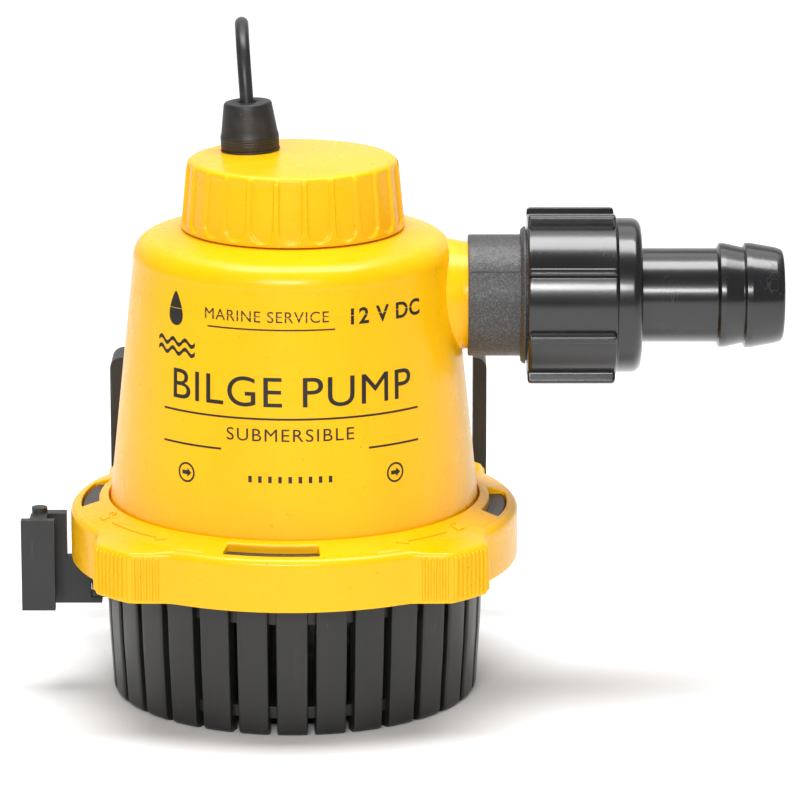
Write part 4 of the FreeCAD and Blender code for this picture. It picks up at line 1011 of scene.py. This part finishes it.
def shoulder_arc(start, middle, end, steps):
    """Points of the circle through three points, from the first to the last."""
    (ax, ay), (bx, by), (cx, cy) = start, middle, end
    d = 2 * (ax * (by - cy) + bx * (cy - ay) + cx * (ay - by))
    a2, b2, c2 = ax * ax + ay * ay, bx * bx + by * by, cx * cx + cy * cy
    ux = (a2 * (by - cy) + b2 * (cy - ay) + c2 * (ay - by)) / d
    uy = (a2 * (cx - bx) + b2 * (ax - cx) + c2 * (bx - ax)) / d
    radius = math.hypot(ax - ux, ay - uy)
    a0, a1 = math.atan2(ay - uy, ax - ux), math.atan2(cy - uy, cx - ux)
    return [(ux + radius * math.cos(a0 + (a1 - a0) * k / steps),
             uy + radius * math.sin(a0 + (a1 - a0) * k / steps))
            for k in range(steps + 1)]


def taper_radius(sizes, z):
    """Radius of the housing's taper at a height."""
    foot, top, shoulder = sizes.foot_radius / MM, sizes.top_radius / MM, sizes.shoulder / MM
    return foot + (top - foot) * (z - RING_TOP) / (shoulder - RING_TOP)


def close_ends(obj):
    """Caps any open ends and turns the faces outwards."""
    sculpt = bmesh.new()
    sculpt.from_mesh(obj.data)
    bmesh.ops.remove_doubles(sculpt, verts=sculpt.verts, dist=1e-7)
    bmesh.ops.holes_fill(sculpt, edges=sculpt.edges)
    bmesh.ops.recalc_face_normals(sculpt, faces=sculpt.faces)
    sculpt.to_mesh(obj.data)
    sculpt.free()


class PUMP_OT_print(bpy.types.Operator):
    """Lay generic pad-printed marks round the front of the housing"""
    bl_idname = "pump.print"
    bl_label = "Printed marks"

    def words(self, text, x, z, cap_height, stretch=1.0, space=1.0, bold=0.0):
        """Flat outline of words, centred on x, in the XZ plane, in millimetres."""
        curve = bpy.data.curves.new(text, "FONT")
        curve.body = text
        curve.align_x = "CENTER"
        curve.size = cap_height / 0.73
        curve.space_character = space
        curve.offset = bold
        curve.resolution_u = 6
        obj = bpy.data.objects.new(text, curve)
        bpy.context.scene.collection.objects.link(obj)
        bpy.context.view_layer.update()
        mesh = bpy.data.meshes.new_from_object(obj)
        mesh.transform(Matrix.Translation((x, 0, z)) @ Matrix.Rotation(math.pi / 2, 4, "X")
                       @ Matrix.Diagonal((stretch, 1, 1, 1)))
        remove(obj)
        return mesh

    def strip(self, outer, inner):
        """Faces between two open lines of the same number of points."""
        faces = []
        for k in range(len(outer) - 1):
            faces.append((outer[k], outer[k + 1], inner[k + 1], inner[k]))
        return faces

    def execute(self, context):
        pump = context.scene.bilge_pump
        sizes = pump.housing
        meshes = [
            self.words("BILGE PUMP", 0.0, 67.0, 6.2, 1.1, 1.06),
            self.words("12 V DC", 20.3, 82.9, 3.2, 1.05, 1.08, 0.1),
            self.words("SUBMERSIBLE", 0.0, 60.2, 2.6, 1.1, 1.15),
            self.words("MARINE SERVICE", -5.0, 83.6, 2.3, 1.0, 1.1),
        ]
        quads = []
        drop = [(-25 + 2.6 * math.sin(t) * (1 - 0.35 * (1 + math.cos(t))), 84.6 + 3.4 * math.cos(t))
                for t in (2 * math.pi * k / 24 for k in range(24))]
        waves = []
        for level in (78.0, 76.2):
            line = [(-30 + 10 * k / 30, level + 0.55 * math.sin(2 * math.pi * k / 10)) for k in range(31)]
            waves += self.strip([(x, z + 0.4) for x, z in line], [(x, z - 0.4) for x, z in line])
        quads += waves
        for x0, x1, z0, z1 in ((-28, 28, 64.4, 64.8), (-17, 9, 82.0, 82.3), (-28, -14, 58.0, 58.4),
                               (16, 28, 58.0, 58.4)):
            quads.append(((x0, z0), (x1, z0), (x1, z1), (x0, z1)))
        for side in (-1, 1):
            x = side * 22.0
            quads += self.strip([(x + 2.0 * math.cos(t), 52.6 + 2.0 * math.sin(t)) for t in
                                 (math.pi * k / 12 for k in range(25))],
                                [(x + 1.6 * math.cos(t), 52.6 + 1.6 * math.sin(t)) for t in
                                 (math.pi * k / 12 for k in range(25))])
            quads.append(((x - 1.0, 52.2), (x + 0.2, 52.2), (x + 0.2, 53.0), (x - 1.0, 53.0)))
            quads.append(((x + 0.2, 51.7), (x + 1.2, 52.6), (x + 0.2, 53.5)))
        for k in range(9):
            x = -8 + 2 * k
            quads.append(((x - 0.35, 52.0), (x + 0.35, 52.0), (x + 0.35, 53.3), (x - 0.35, 53.3)))

        def build_flat(sculpt):
            for mesh in meshes:
                sculpt.from_mesh(mesh)
                bpy.data.meshes.remove(mesh)
            for points in quads + [drop]:
                sculpt.faces.new([sculpt.verts.new((x, 0, z)) for x, z in points])
            bmesh.ops.remove_doubles(sculpt, verts=sculpt.verts, dist=1e-4)
            for step in range(-34, 35):
                parts = list(sculpt.verts) + list(sculpt.edges) + list(sculpt.faces)
                bmesh.ops.bisect_plane(sculpt, geom=parts, dist=1e-5, plane_co=(step, 0, 0),
                                       plane_no=(1, 0, 0))
            for face in sculpt.faces:
                face.normal_update()
                if face.normal.y > 0:
                    face.normal_flip()
            bmesh.ops.solidify(sculpt, geom=sculpt.faces, thickness=0.06)
            for vert in sculpt.verts:
                proud = 0.03 if vert.co.y < 0.03 and vert.co.y > -0.03 else -0.03
                radius = taper_radius(sizes, vert.co.z) + proud
                angle = vert.co.x / taper_radius(sizes, vert.co.z)
                vert.co = (radius * math.sin(angle), -radius * math.cos(angle), vert.co.z)

        marks = new_object("housing_print", build_flat)
        finish(marks, "pump_body", "pump_yellow", "ink", sharp=30)
        return {"FINISHED"}


class PUMP_OT_cap(bpy.types.Operator):
    """Build the fluted motor cap, its plug and the cable gland"""
    bl_idname = "pump.cap"
    bl_label = "Motor cap and gland"

    def execute(self, context):
        pump = context.scene.bilge_pump
        sizes = pump.cap
        foot_r, head_r = sizes.foot_radius / MM, sizes.head_radius / MM
        crown = CAP_HIGH.z
        bottom, edge_z, rim_z = crown - 14.4, crown - 2.5, crown - 0.6
        half_cell = math.pi / sizes.flutes
        flute_half = sizes.flute_width / MM / 2
        depth = sizes.flute_depth / MM

        def outside():
            """The visible profile from the foot to the crown."""
            points = [(foot_r - 0.25, bottom), (foot_r - 0.06, bottom + 0.08), (foot_r, bottom + 0.3)]
            points += [(foot_r + (head_r - foot_r) * k / 40, bottom + 0.3 + (edge_z - bottom - 0.3) * k / 40)
                       for k in range(1, 41)]
            arc = shoulder_arc((head_r, edge_z), (head_r - 0.5, rim_z - 0.55), (head_r - 1.8, rim_z), 8)
            points += arc[1:]
            points += [(radius, crown - 0.6 * (radius / (head_r - 1.8)) ** 2) for radius in
                       (18.5, 17.0, 15.0, 12.5, 10.0, 7.5, 5.0, 2.5)]
            return points

        def smooth(value, low, high):
            share = min(max((value - low) / (high - low), 0.0), 1.0)
            return share * share * (3 - 2 * share)

        def flute(s, z):
            """Depth of the pocket at a distance s from its middle and a height."""
            foot = bottom + 0.65 + flute_half
            distance = abs(s) if z > foot else math.hypot(s, z - foot)
            wall = 1 - smooth(distance, flute_half - 0.35, flute_half + 0.02)
            return depth * wall * (1 - smooth(z, edge_z + 0.2, rim_z - 0.1))

        inside = [(0, rim_z - 2.2), (18.9, rim_z - 2.2), (19.0, rim_z - 2.4), (19.0, CAP_LOW.z + 0.2),
                  (19.2, CAP_LOW.z), (20.7, CAP_LOW.z), (20.9, CAP_LOW.z + 0.2), (20.9, 89.4),
                  (19.35, 89.4), (19.35, 91.2), (20.9, 91.2), (20.9, bottom)]

        def build_cell(sculpt):
            steps = 30
            rows = []
            for r, z in inside + outside() + [(0, crown)]:
                if r < 1e-6:
                    rows.append([sculpt.verts.new((0, 0, z))] * (steps + 1))
                    continue
                row = []
                for k in range(steps + 1):
                    angle = -half_cell + 2 * half_cell * k / steps
                    radius = r - (flute(r * angle, z) if r > 18 and z > bottom + 0.1 else 0.0)
                    row.append(sculpt.verts.new((radius * math.cos(angle), radius * math.sin(angle), z)))
                rows.append(row)
            for lower, upper in zip(rows, rows[1:]):
                for k in range(steps):
                    corners = list(dict.fromkeys((lower[k], lower[k + 1], upper[k + 1], upper[k])))
                    if len(corners) > 2:
                        sculpt.faces.new(corners)

        cell = new_object("motor_cap", build_cell)
        cap = repeat_round(cell, sizes.flutes, -math.pi / 2, "yellow", seam=2e-6)
        close_ends(cap)
        lugs = [raised("lug", lambda grow, a=a: sector_loop(a, 9, 20.2, 22.4, 0.3, grow),
                       CAP_LOW.z, CAP_LOW.z + 2.3, 0.2) for a in (0, 180)]
        combine(cap, lugs)
        finish(cap, "cartridge", "pump_yellow", "yellow", "motor_cap", sharp=40)
        self.gland(sizes, crown)
        return {"FINISHED"}

    def gland(self, sizes, crown):
        foot, top = sizes.gland_foot / MM, sizes.gland_top / MM
        z0, waist, z1 = crown - 0.25, crown + 3.1, crown + 9.8
        profile = [(0, z0)] + rounded([
            (foot - 0.6, z0), (foot + 0.05, z0, 0.3), (foot + 0.05, z0 + 0.9, 0.2)])[1:]
        for k in range(4):
            z = z0 + 1.15 + 0.55 * k
            profile += [(foot - 0.02, z), (foot - 0.12, z + 0.12),
                        (foot - 0.12, z + 0.2), (foot - 0.02, z + 0.32)]
        profile += [(foot - 0.1, waist), (foot - 0.25, waist + 0.5)]
        profile += [(foot - 0.25 + (top + 0.15 - foot + 0.25) * k / 8,
                     waist + 0.5 + (z1 - waist - 1.1) * k / 8)
                    for k in range(1, 9)]
        profile += [(top + 0.05, z1 - 0.3), (top - 0.1, z1 - 0.1), (top - 0.4, z1), (2.2, z1 - 0.05),
                    (1.85, z1 - 0.2), (1.75, z1 - 0.5), (1.7, z1 - 3.0), (0, z1 - 3.0)]
        boot = turned("cable_gland", profile, 96, closed=False)
        lean = (Matrix.Translation((-8.6 * MM, 6.0 * MM, 0))
                @ Matrix.Translation((0, 0, (crown - 0.6) * MM))
                @ Matrix.Rotation(math.radians(-3), 4, "Y")
                @ Matrix.Translation((0, 0, -(crown - 0.6) * MM)))
        boot.data.transform(lean)
        finish(boot, "cartridge", "gland_rubber", "gland", "cable_gland", sharp=45)


class PUMP_OT_cord(bpy.types.Operator):
    """Lay the power cord over the back and wind its spare length into a tied coil"""
    bl_idname = "pump.cord"
    bl_label = "Power cord"

    route = [                   # the same route as the CAD tube, in millimetres
        (-9.1, 6.0, 117.6),
        (-9.9, 6.4, 129.0),
        (-10.6, 16.9, 135.2),
        (-10.9, 28.6, 131.6),
        (-10.6, 40.4, 117.2),
        (-9.6, 50.3, 95.4),
        (-8.2, 58.4, 70.6),
        (-7.0, 64.1, 46.4),
        (-6.2, 67.2, 24.8),
        (-5.9, 72.3, 12.2),
        (-5.8, 82.5, 7.4),
    ]
    centre = (14.0, 93.5)
    slots = ((19.9, 7.25), (19.9, 4.35), (17.0, 4.35), (14.1, 4.35), (14.1, 1.45), (17.0, 1.45), (19.9, 1.45))

    def turns(self):
        """Control points of the wound turns: each slot is a radius and a height in the coil."""
        total, step, change = 2340.0, 20.0, 40.0
        period = total / len(self.slots)
        points = []
        for k in range(int(total / step) + 1):
            swept = min(k * step, total)
            index = min(int(swept / period), len(self.slots) - 1)
            share = (swept - index * period - (period - change)) / change
            share = min(max(share, 0.0), 1.0) if index + 1 < len(self.slots) else 0.0
            share = share * share * (3 - 2 * share)
            here, after = self.slots[index], self.slots[min(index + 1, len(self.slots) - 1)]
            radius = (here[0] + (after[0] - here[0]) * share) / math.cos(math.radians(step / 2))
            height = here[1] + (after[1] - here[1]) * share
            azimuth = math.radians(180 - swept)
            points.append((self.centre[0] + radius * math.cos(azimuth),
                           self.centre[1] + radius * math.sin(azimuth), height))
        return points

    def execute(self, context):
        pump = context.scene.bilge_pump
        sizes = pump.cord
        radius = sizes.diameter / MM / 2
        x = self.centre[0] + 20.0
        end_y = self.centre[1] - 7.6 - 16.0
        points = self.route + self.turns() + [(x, 86.0, 1.5), (x, 78.0, 1.5), (x, end_y, 1.5)]
        curve = bpy.data.curves.new("power_cord", "CURVE")
        curve.dimensions = "3D"
        curve.bevel_depth = radius * MM
        curve.bevel_resolution = 5
        curve.use_fill_caps = True
        curve.resolution_u = 4
        spline = curve.splines.new("NURBS")
        spline.points.add(len(points) - 1)
        for point, place in zip(spline.points, points):
            point.co = (*(v * MM for v in place), 1.0)
        spline.order_u = 3
        spline.use_endpoint_u = True
        curve.materials.append(MATERIALS["cord"])
        cord = bpy.data.objects.new("power_cord_run", curve)
        bpy.context.scene.collection.objects.link(cord)
        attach(cord, "cartridge")
        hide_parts("power_cord", "cord_coil", "cord_tail")
        ends = self.bared_ends(x, end_y)
        band = self.tie()
        exit_point = tuple(v * MM for v in self.route[0])
        return {"FINISHED"}

    def bared_ends(self, x, y):
        """Two insulated cores that end in twisted tinned strands."""
        cores, strands = [], []
        for side in (-1, 1):
            def shift(points, side=side):
                return [(px + x + side * 0.85, py, pz + 1.5) for px, py, pz in points]

            def ring(radius, at):
                return shift([(radius * math.cos(t), at, radius * math.sin(t)) for t in
                              (2 * math.pi * k / 20 for k in range(20))])
            cores.append(lofted("core", [ring(0.6, y + 0.5), ring(0.72, y + 0.3), ring(0.72, y - 3.2),
                                         ring(0.62, y - 3.35)]))
            for wire in range(7):
                phase = 2 * math.pi * wire / 6
                spread = 0.0 if wire == 6 else 0.33

                def wire_ring(step, spread=spread, phase=phase):
                    at = y - 3.0 - 5.0 * step / 12
                    twist = phase + 2.2 * step / 12
                    cx, cz = spread * math.cos(twist), spread * math.sin(twist)
                    return shift([(cx + 0.165 * math.cos(t), at, cz + 0.165 * math.sin(t)) for t in
                                  (2 * math.pi * k / 8 for k in range(8))])
                strands.append(lofted("wire", [wire_ring(step) for step in range(13)]))
        insulation = joined("lead_insulation", cores)
        finish(insulation, "cartridge", "cord_black", "cord", "lead_ends", sharp=50)
        wires = joined("lead_strands", strands)
        finish(wires, "cartridge", "tinned_copper", "tinned", sharp=60)
        return [insulation, wires]

    def tie(self):
        """A nylon tie round the coil, its head in the coil's open middle."""
        cx, cy = self.centre
        inner, outer, top, thick, half = 12.6, 21.4, 9.0, 0.6, 2.0
        corner = 1.9
        y0, y1 = cy + inner, cy + outer

        def path(grow):
            return rounded([(y0 - grow, 0.02 - min(grow, 0), corner),
                            (y1 + grow, 0.02 - min(grow, 0), corner),
                            (y1 + grow, top + grow, corner), (y0 - grow, top + grow, corner)], 8)

        def build(sculpt):
            rims = []
            for grow, x in ((-thick, cx - half), (0, cx - half + 0.15),
                            (0, cx + half - 0.15), (-thick, cx + half)):
                rims.append([sculpt.verts.new((x, y, z)) for y, z in path(grow)])
            bridge(sculpt, rims, True)
        band = new_object("coil_tie_band", build)
        head = raised("coil_tie_head",
                      lambda grow: box_loop(cx - 2.6, cx + 2.6, y0 - 2.6, y0 + 0.3, 0.5, grow),
                      3.2, 7.4, 0.4)
        tongue = raised("coil_tie_end",
                        lambda grow: box_loop(cx - 1.8, cx + 1.8, y0 - 1.9, y0 - 1.3, 0.15, grow),
                        2.0, 9.4, 0.1)
        tie = joined("coil_tie_strap", [band, head, tongue])
        return finish(tie, "cartridge", "tie_black", "tie", "coil_tie", sharp=40)


class PUMP_OT_outlet(bpy.types.Operator):
    """Build the valve collar, the ribbed union nut and the barbed hose tail"""
    bl_idname = "pump.outlet"
    bl_label = "Outlet"

    def execute(self, context):
        pump = context.scene.bilge_pump
        sizes = pump.outlet
        self.collar(sizes)
        self.nut(sizes)
        self.tail(sizes)
        return {"FINISHED"}

    def collar(self, sizes):
        x0, x1 = VALVE_LOW.x - 0.4, VALVE_HIGH.x
        r = sizes.collar_radius / MM
        flange, crest, root = r + 1.6, r + 0.9, r + 0.2
        seat_back, seat = HOUSING_HIGH.x + 0.1, HOUSING_HIGH.x + 2.1
        thread = []
        turn = NUT_LOW.x + 0.8
        while turn + 2.5 < x1:
            thread += [(turn, crest, 0.15), (turn + 0.7, root, 0.15), (turn + 1.3, root, 0.15),
                       (turn + 2.0, crest, 0.15)]
            turn += 2.5
        body = turned("valve_body", rounded([
            (x0, 10.9), (x0, r, 0.3), (45.9, r, 0.15), (45.9, flange - 0.6, 0.1), (46.5, flange, 0.2),
            (46.9, flange, 0.1), (46.9, crest)] + thread + [
            (x1, crest, 0.3), (x1, 11.0, 0.2), (seat, 11.0), (seat, 7.6, 0.2), (seat_back, 7.6, 0.2),
            (seat_back, 10.9)], 3), 128, "X")
        fins = []
        for azimuth in (35, 215):
            angle = math.radians(azimuth)
            loops = []
            for x in (x0 + 0.4, 45.6):
                ring = []
                for out, side in ((-0.3, -0.12), (0.07, -0.07), (0.07, 0.07), (-0.3, 0.12)):
                    spoke = r + out
                    ring.append((x, -spoke * math.cos(angle) - side * math.sin(angle),
                                 OUTLET_Z + spoke * math.sin(angle) - side * math.cos(angle)))
                loops.append(ring)
            fins.append(lofted("fin", loops))
        ears = []
        for side in (-1, 1):
            y0, y1 = sorted((side * 2.7, side * 4.3))
            ears.append(lofted("ear", [[(x, y, z) for y, z in (
                (y0, OUTLET_Z + 8.4), (y1, OUTLET_Z + 8.4), (y1, OUTLET_Z + 11.3), (y0, OUTLET_Z + 11.3))]
                for x in (seat - 0.2, seat + 2.6)]))
        body = joined("valve_body_shell", [body] + fins + ears)
        finish(body, "pump_body", "valve_black", "valve", "valve_body", sharp=35)

    def nut(self, sizes):
        x0, x1 = NUT_LOW.x, NUT_HIGH.x
        r = sizes.nut_radius / MM
        body_end, bore, hole = x1 - 5.7, r - 2.95, sizes.tail_radius / MM + 0.3
        collar_r = r - 0.85
        body = turned("union_nut", rounded([
            (x0, bore, 0.3), (x0, r - 0.1, 0.7), (x0 + 0.9, r, 0.4), (body_end, r, 0.5),
            (body_end + 0.35, collar_r, 0.25),
            (x1 - 0.5, collar_r, 2.0), (x1 - 0.5, hole, 0.5), (63.6, hole, 0.2),
            (63.6, bore, 0.2)], 5), ROUND, "X")
        half = sizes.rib_width / MM / 2
        low, high = r - 0.6, r + sizes.rib_height / MM

        def rib_loop(x, inset):
            corner = 0.5
            top = high - inset
            side = half - inset * 0.25
            return [(x, y, z) for y, z in [(-side - 0.25, low), (-side - 0.03, low + 0.75)] + [
                (-side + corner - corner * math.cos(a), top - corner + corner * math.sin(a))
                for a in (math.radians(d) for d in (0, 30, 60, 90))] + [
                (side - corner + corner * math.sin(a), top - corner + corner * math.cos(a))
                for a in (math.radians(d) for d in (0, 30, 60, 90))] + [
                (side + 0.03, low + 0.75), (side + 0.25, low)]]

        rib = lofted("rib", [rib_loop(x, inset) for x, inset in (
            (x0 + 0.05, 0.9), (x0 + 0.12, 0.5), (x0 + 0.35, 0.15), (x0 + 0.7, 0.0), (body_end - 0.7, 0.0),
            (body_end - 0.35, 0.15), (body_end - 0.12, 0.5), (body_end - 0.05, 0.9))])
        ribs = repeat_round(rib, sizes.ribs, math.pi / 2 - sizes.rib_phase, "union", (1, 0, 0),
                            (0, 0, OUTLET_Z * MM))
        combine(body, [ribs])
        finish(body, "union_nut", "union_black", "union", "union_nut", sharp=34)

    def tail(self, sizes):
        neck = sizes.tail_radius / MM
        x0, x1 = TAIL_LOW.x, TAIL_HIGH.x - 1.0
        barb = neck + sizes.barb / MM
        first, second = x1 - 13.0, x1 - 7.8
        tail = turned("hose_tail", rounded([
            (x0, 11.0, 0.2), (x0, 12.8, 0.3), (x0 + 7.0, 12.8, 0.3), (x0 + 7.0, neck),
            (first - 0.5, neck, 0.3),
            (first, barb, 0.3), (first + 1.1, barb, 0.4), (second - 0.35, neck + 0.2, 0.3),
            (second, barb + 0.05, 0.3), (second + 1.2, barb + 0.05, 0.6), (x1 - 1.6, neck + 0.2, 2.0),
            (x1, neck - 0.3, 1.3), (x1, neck - 2.3, 0.5), (x0 + 5.7, neck - 2.3),
            (x0 + 5.7, 11.0)], 6), 128, "X")
        finish(tail, "hose_tail", "union_black", "union", "hose_tail", sharp=36)


class PUMP_OT_brackets(bpy.types.Operator):
    """Finish the switch rail and the rear bracket with rounded edges"""
    bl_idname = "pump.brackets"
    bl_label = "Rail and bracket"

    def execute(self, context):
        for node in ("switch_rail", "rear_bracket"):
            piece = cad_copy(node, node + "_moulded", 0.25)
            finish(piece, "pump_body", "bracket_black", "bracket", node, sharp=30)
        return {"FINISHED"}


class PUMP_OT_stage(bpy.types.Operator):
    """Make the floor, the studio lights and the camera"""
    bl_idname = "pump.stage"
    bl_label = "Stage"

    def area(self, name, power, size, place, target, tint=(1, 1, 1)):
        light = bpy.data.lights.new(name, "AREA")
        light.energy = power
        light.shape = "RECTANGLE"
        light.size, light.size_y = size
        light.color = tint
        obj = bpy.data.objects.new(name, light)
        obj.location = place
        obj.rotation_euler = (Vector(target) - Vector(place)).to_track_quat("-Z", "Y").to_euler()
        bpy.context.scene.collection.objects.link(obj)

    def execute(self, context):
        pump = context.scene.bilge_pump
        settings = pump.stage
        scene = bpy.context.scene

        def build_floor(sculpt):
            rows = []
            for y, z in [(-3000, 0), (1200, 0)] + [
                    (1200 + 500 * math.sin(a), 500 - 500 * math.cos(a)) for a in
                    (math.pi / 2 * k / 16 for k in range(1, 17))] + [(1700, 3000)]:
                rows.append([sculpt.verts.new((x, y, z)) for x in (-4000, 4000)])
            for lower, upper in zip(rows, rows[1:]):
                sculpt.faces.new((lower[0], lower[1], upper[1], upper[0]))
        floor = new_object("floor", build_floor)
        floor.data.materials.append(MATERIALS["floor"])
        floor.data.shade_smooth()

        world = bpy.data.worlds.new("studio")
        world.use_nodes = True
        background = world.node_tree.nodes["Background"]
        background.inputs["Color"].default_value = (1.0, 1.0, 1.0, 1.0)
        background.inputs["Strength"].default_value = 0.22
        scene.world = world
        scene.view_settings.view_transform = "Standard"
        middle = (0.01, 0.0, 0.06)
        self.area("overhead_strip", settings.key * 1.5, (1.1, 0.46), (0.05, 0.02, 1.2), (0.05, 0.02, 0.0))
        self.area("overhead", settings.key * 0.6, (1.6, 1.0), (0.0, 0.7, 1.25), (0.0, 0.6, 0.0))
        self.area("key_front", settings.key * 0.75, (0.6, 0.16), (-0.10, -1.10, 0.58), middle)

        lens = bpy.data.cameras.new("camera")
        lens.sensor_width = 36.0
        lens.lens = settings.lens
        lens.clip_start, lens.clip_end = 0.01, 20.0
        camera = bpy.data.objects.new("camera", lens)
        camera.location = (0.0216, -0.9869, 0.3056)
        camera.rotation_euler = (math.pi / 2 - settings.pitch, 0.0, 0.0)
        scene.collection.objects.link(camera)
        scene.camera = camera
        return {"FINISHED"}


OPERATORS = (
    PUMP_OT_materials, PUMP_OT_stage, PUMP_OT_cap, PUMP_OT_cord, PUMP_OT_strainer, PUMP_OT_lock_ring,
    PUMP_OT_housing, PUMP_OT_print, PUMP_OT_outlet, PUMP_OT_brackets,
)


class PUMP_PT_panel(bpy.types.Panel):
    """The pump's sizes and the steps that build it"""
    bl_idname = "PUMP_PT_panel"
    bl_label = "Bilge pump"
    bl_space_type = "VIEW_3D"
    bl_region_type = "UI"
    bl_category = "Bilge pump"

    def draw(self, context):
        pump = context.scene.bilge_pump
        for step in OPERATORS:
            self.layout.operator(step.bl_idname)
        for name, kind in GROUPS.items():
            box = self.layout.box()
            box.label(text=name.title())
            for key in kind.__annotations__:
                box.prop(getattr(pump, name), key)


CLASSES = (*GROUPS.values(), PumpSettings, *OPERATORS, PUMP_PT_panel)


def register():
    for kind in CLASSES:
        bpy.utils.register_class(kind)
    bpy.types.Scene.bilge_pump = bpy.props.PointerProperty(type=PumpSettings)


def unregister():
    del bpy.types.Scene.bilge_pump
    for kind in reversed(CLASSES):
        bpy.utils.unregister_class(kind)


def main():
    register()
    for step in OPERATORS:
        group, name = step.bl_idname.split(".")
        getattr(getattr(bpy.ops, group), name)()


if __name__ == "__main__":
    main()
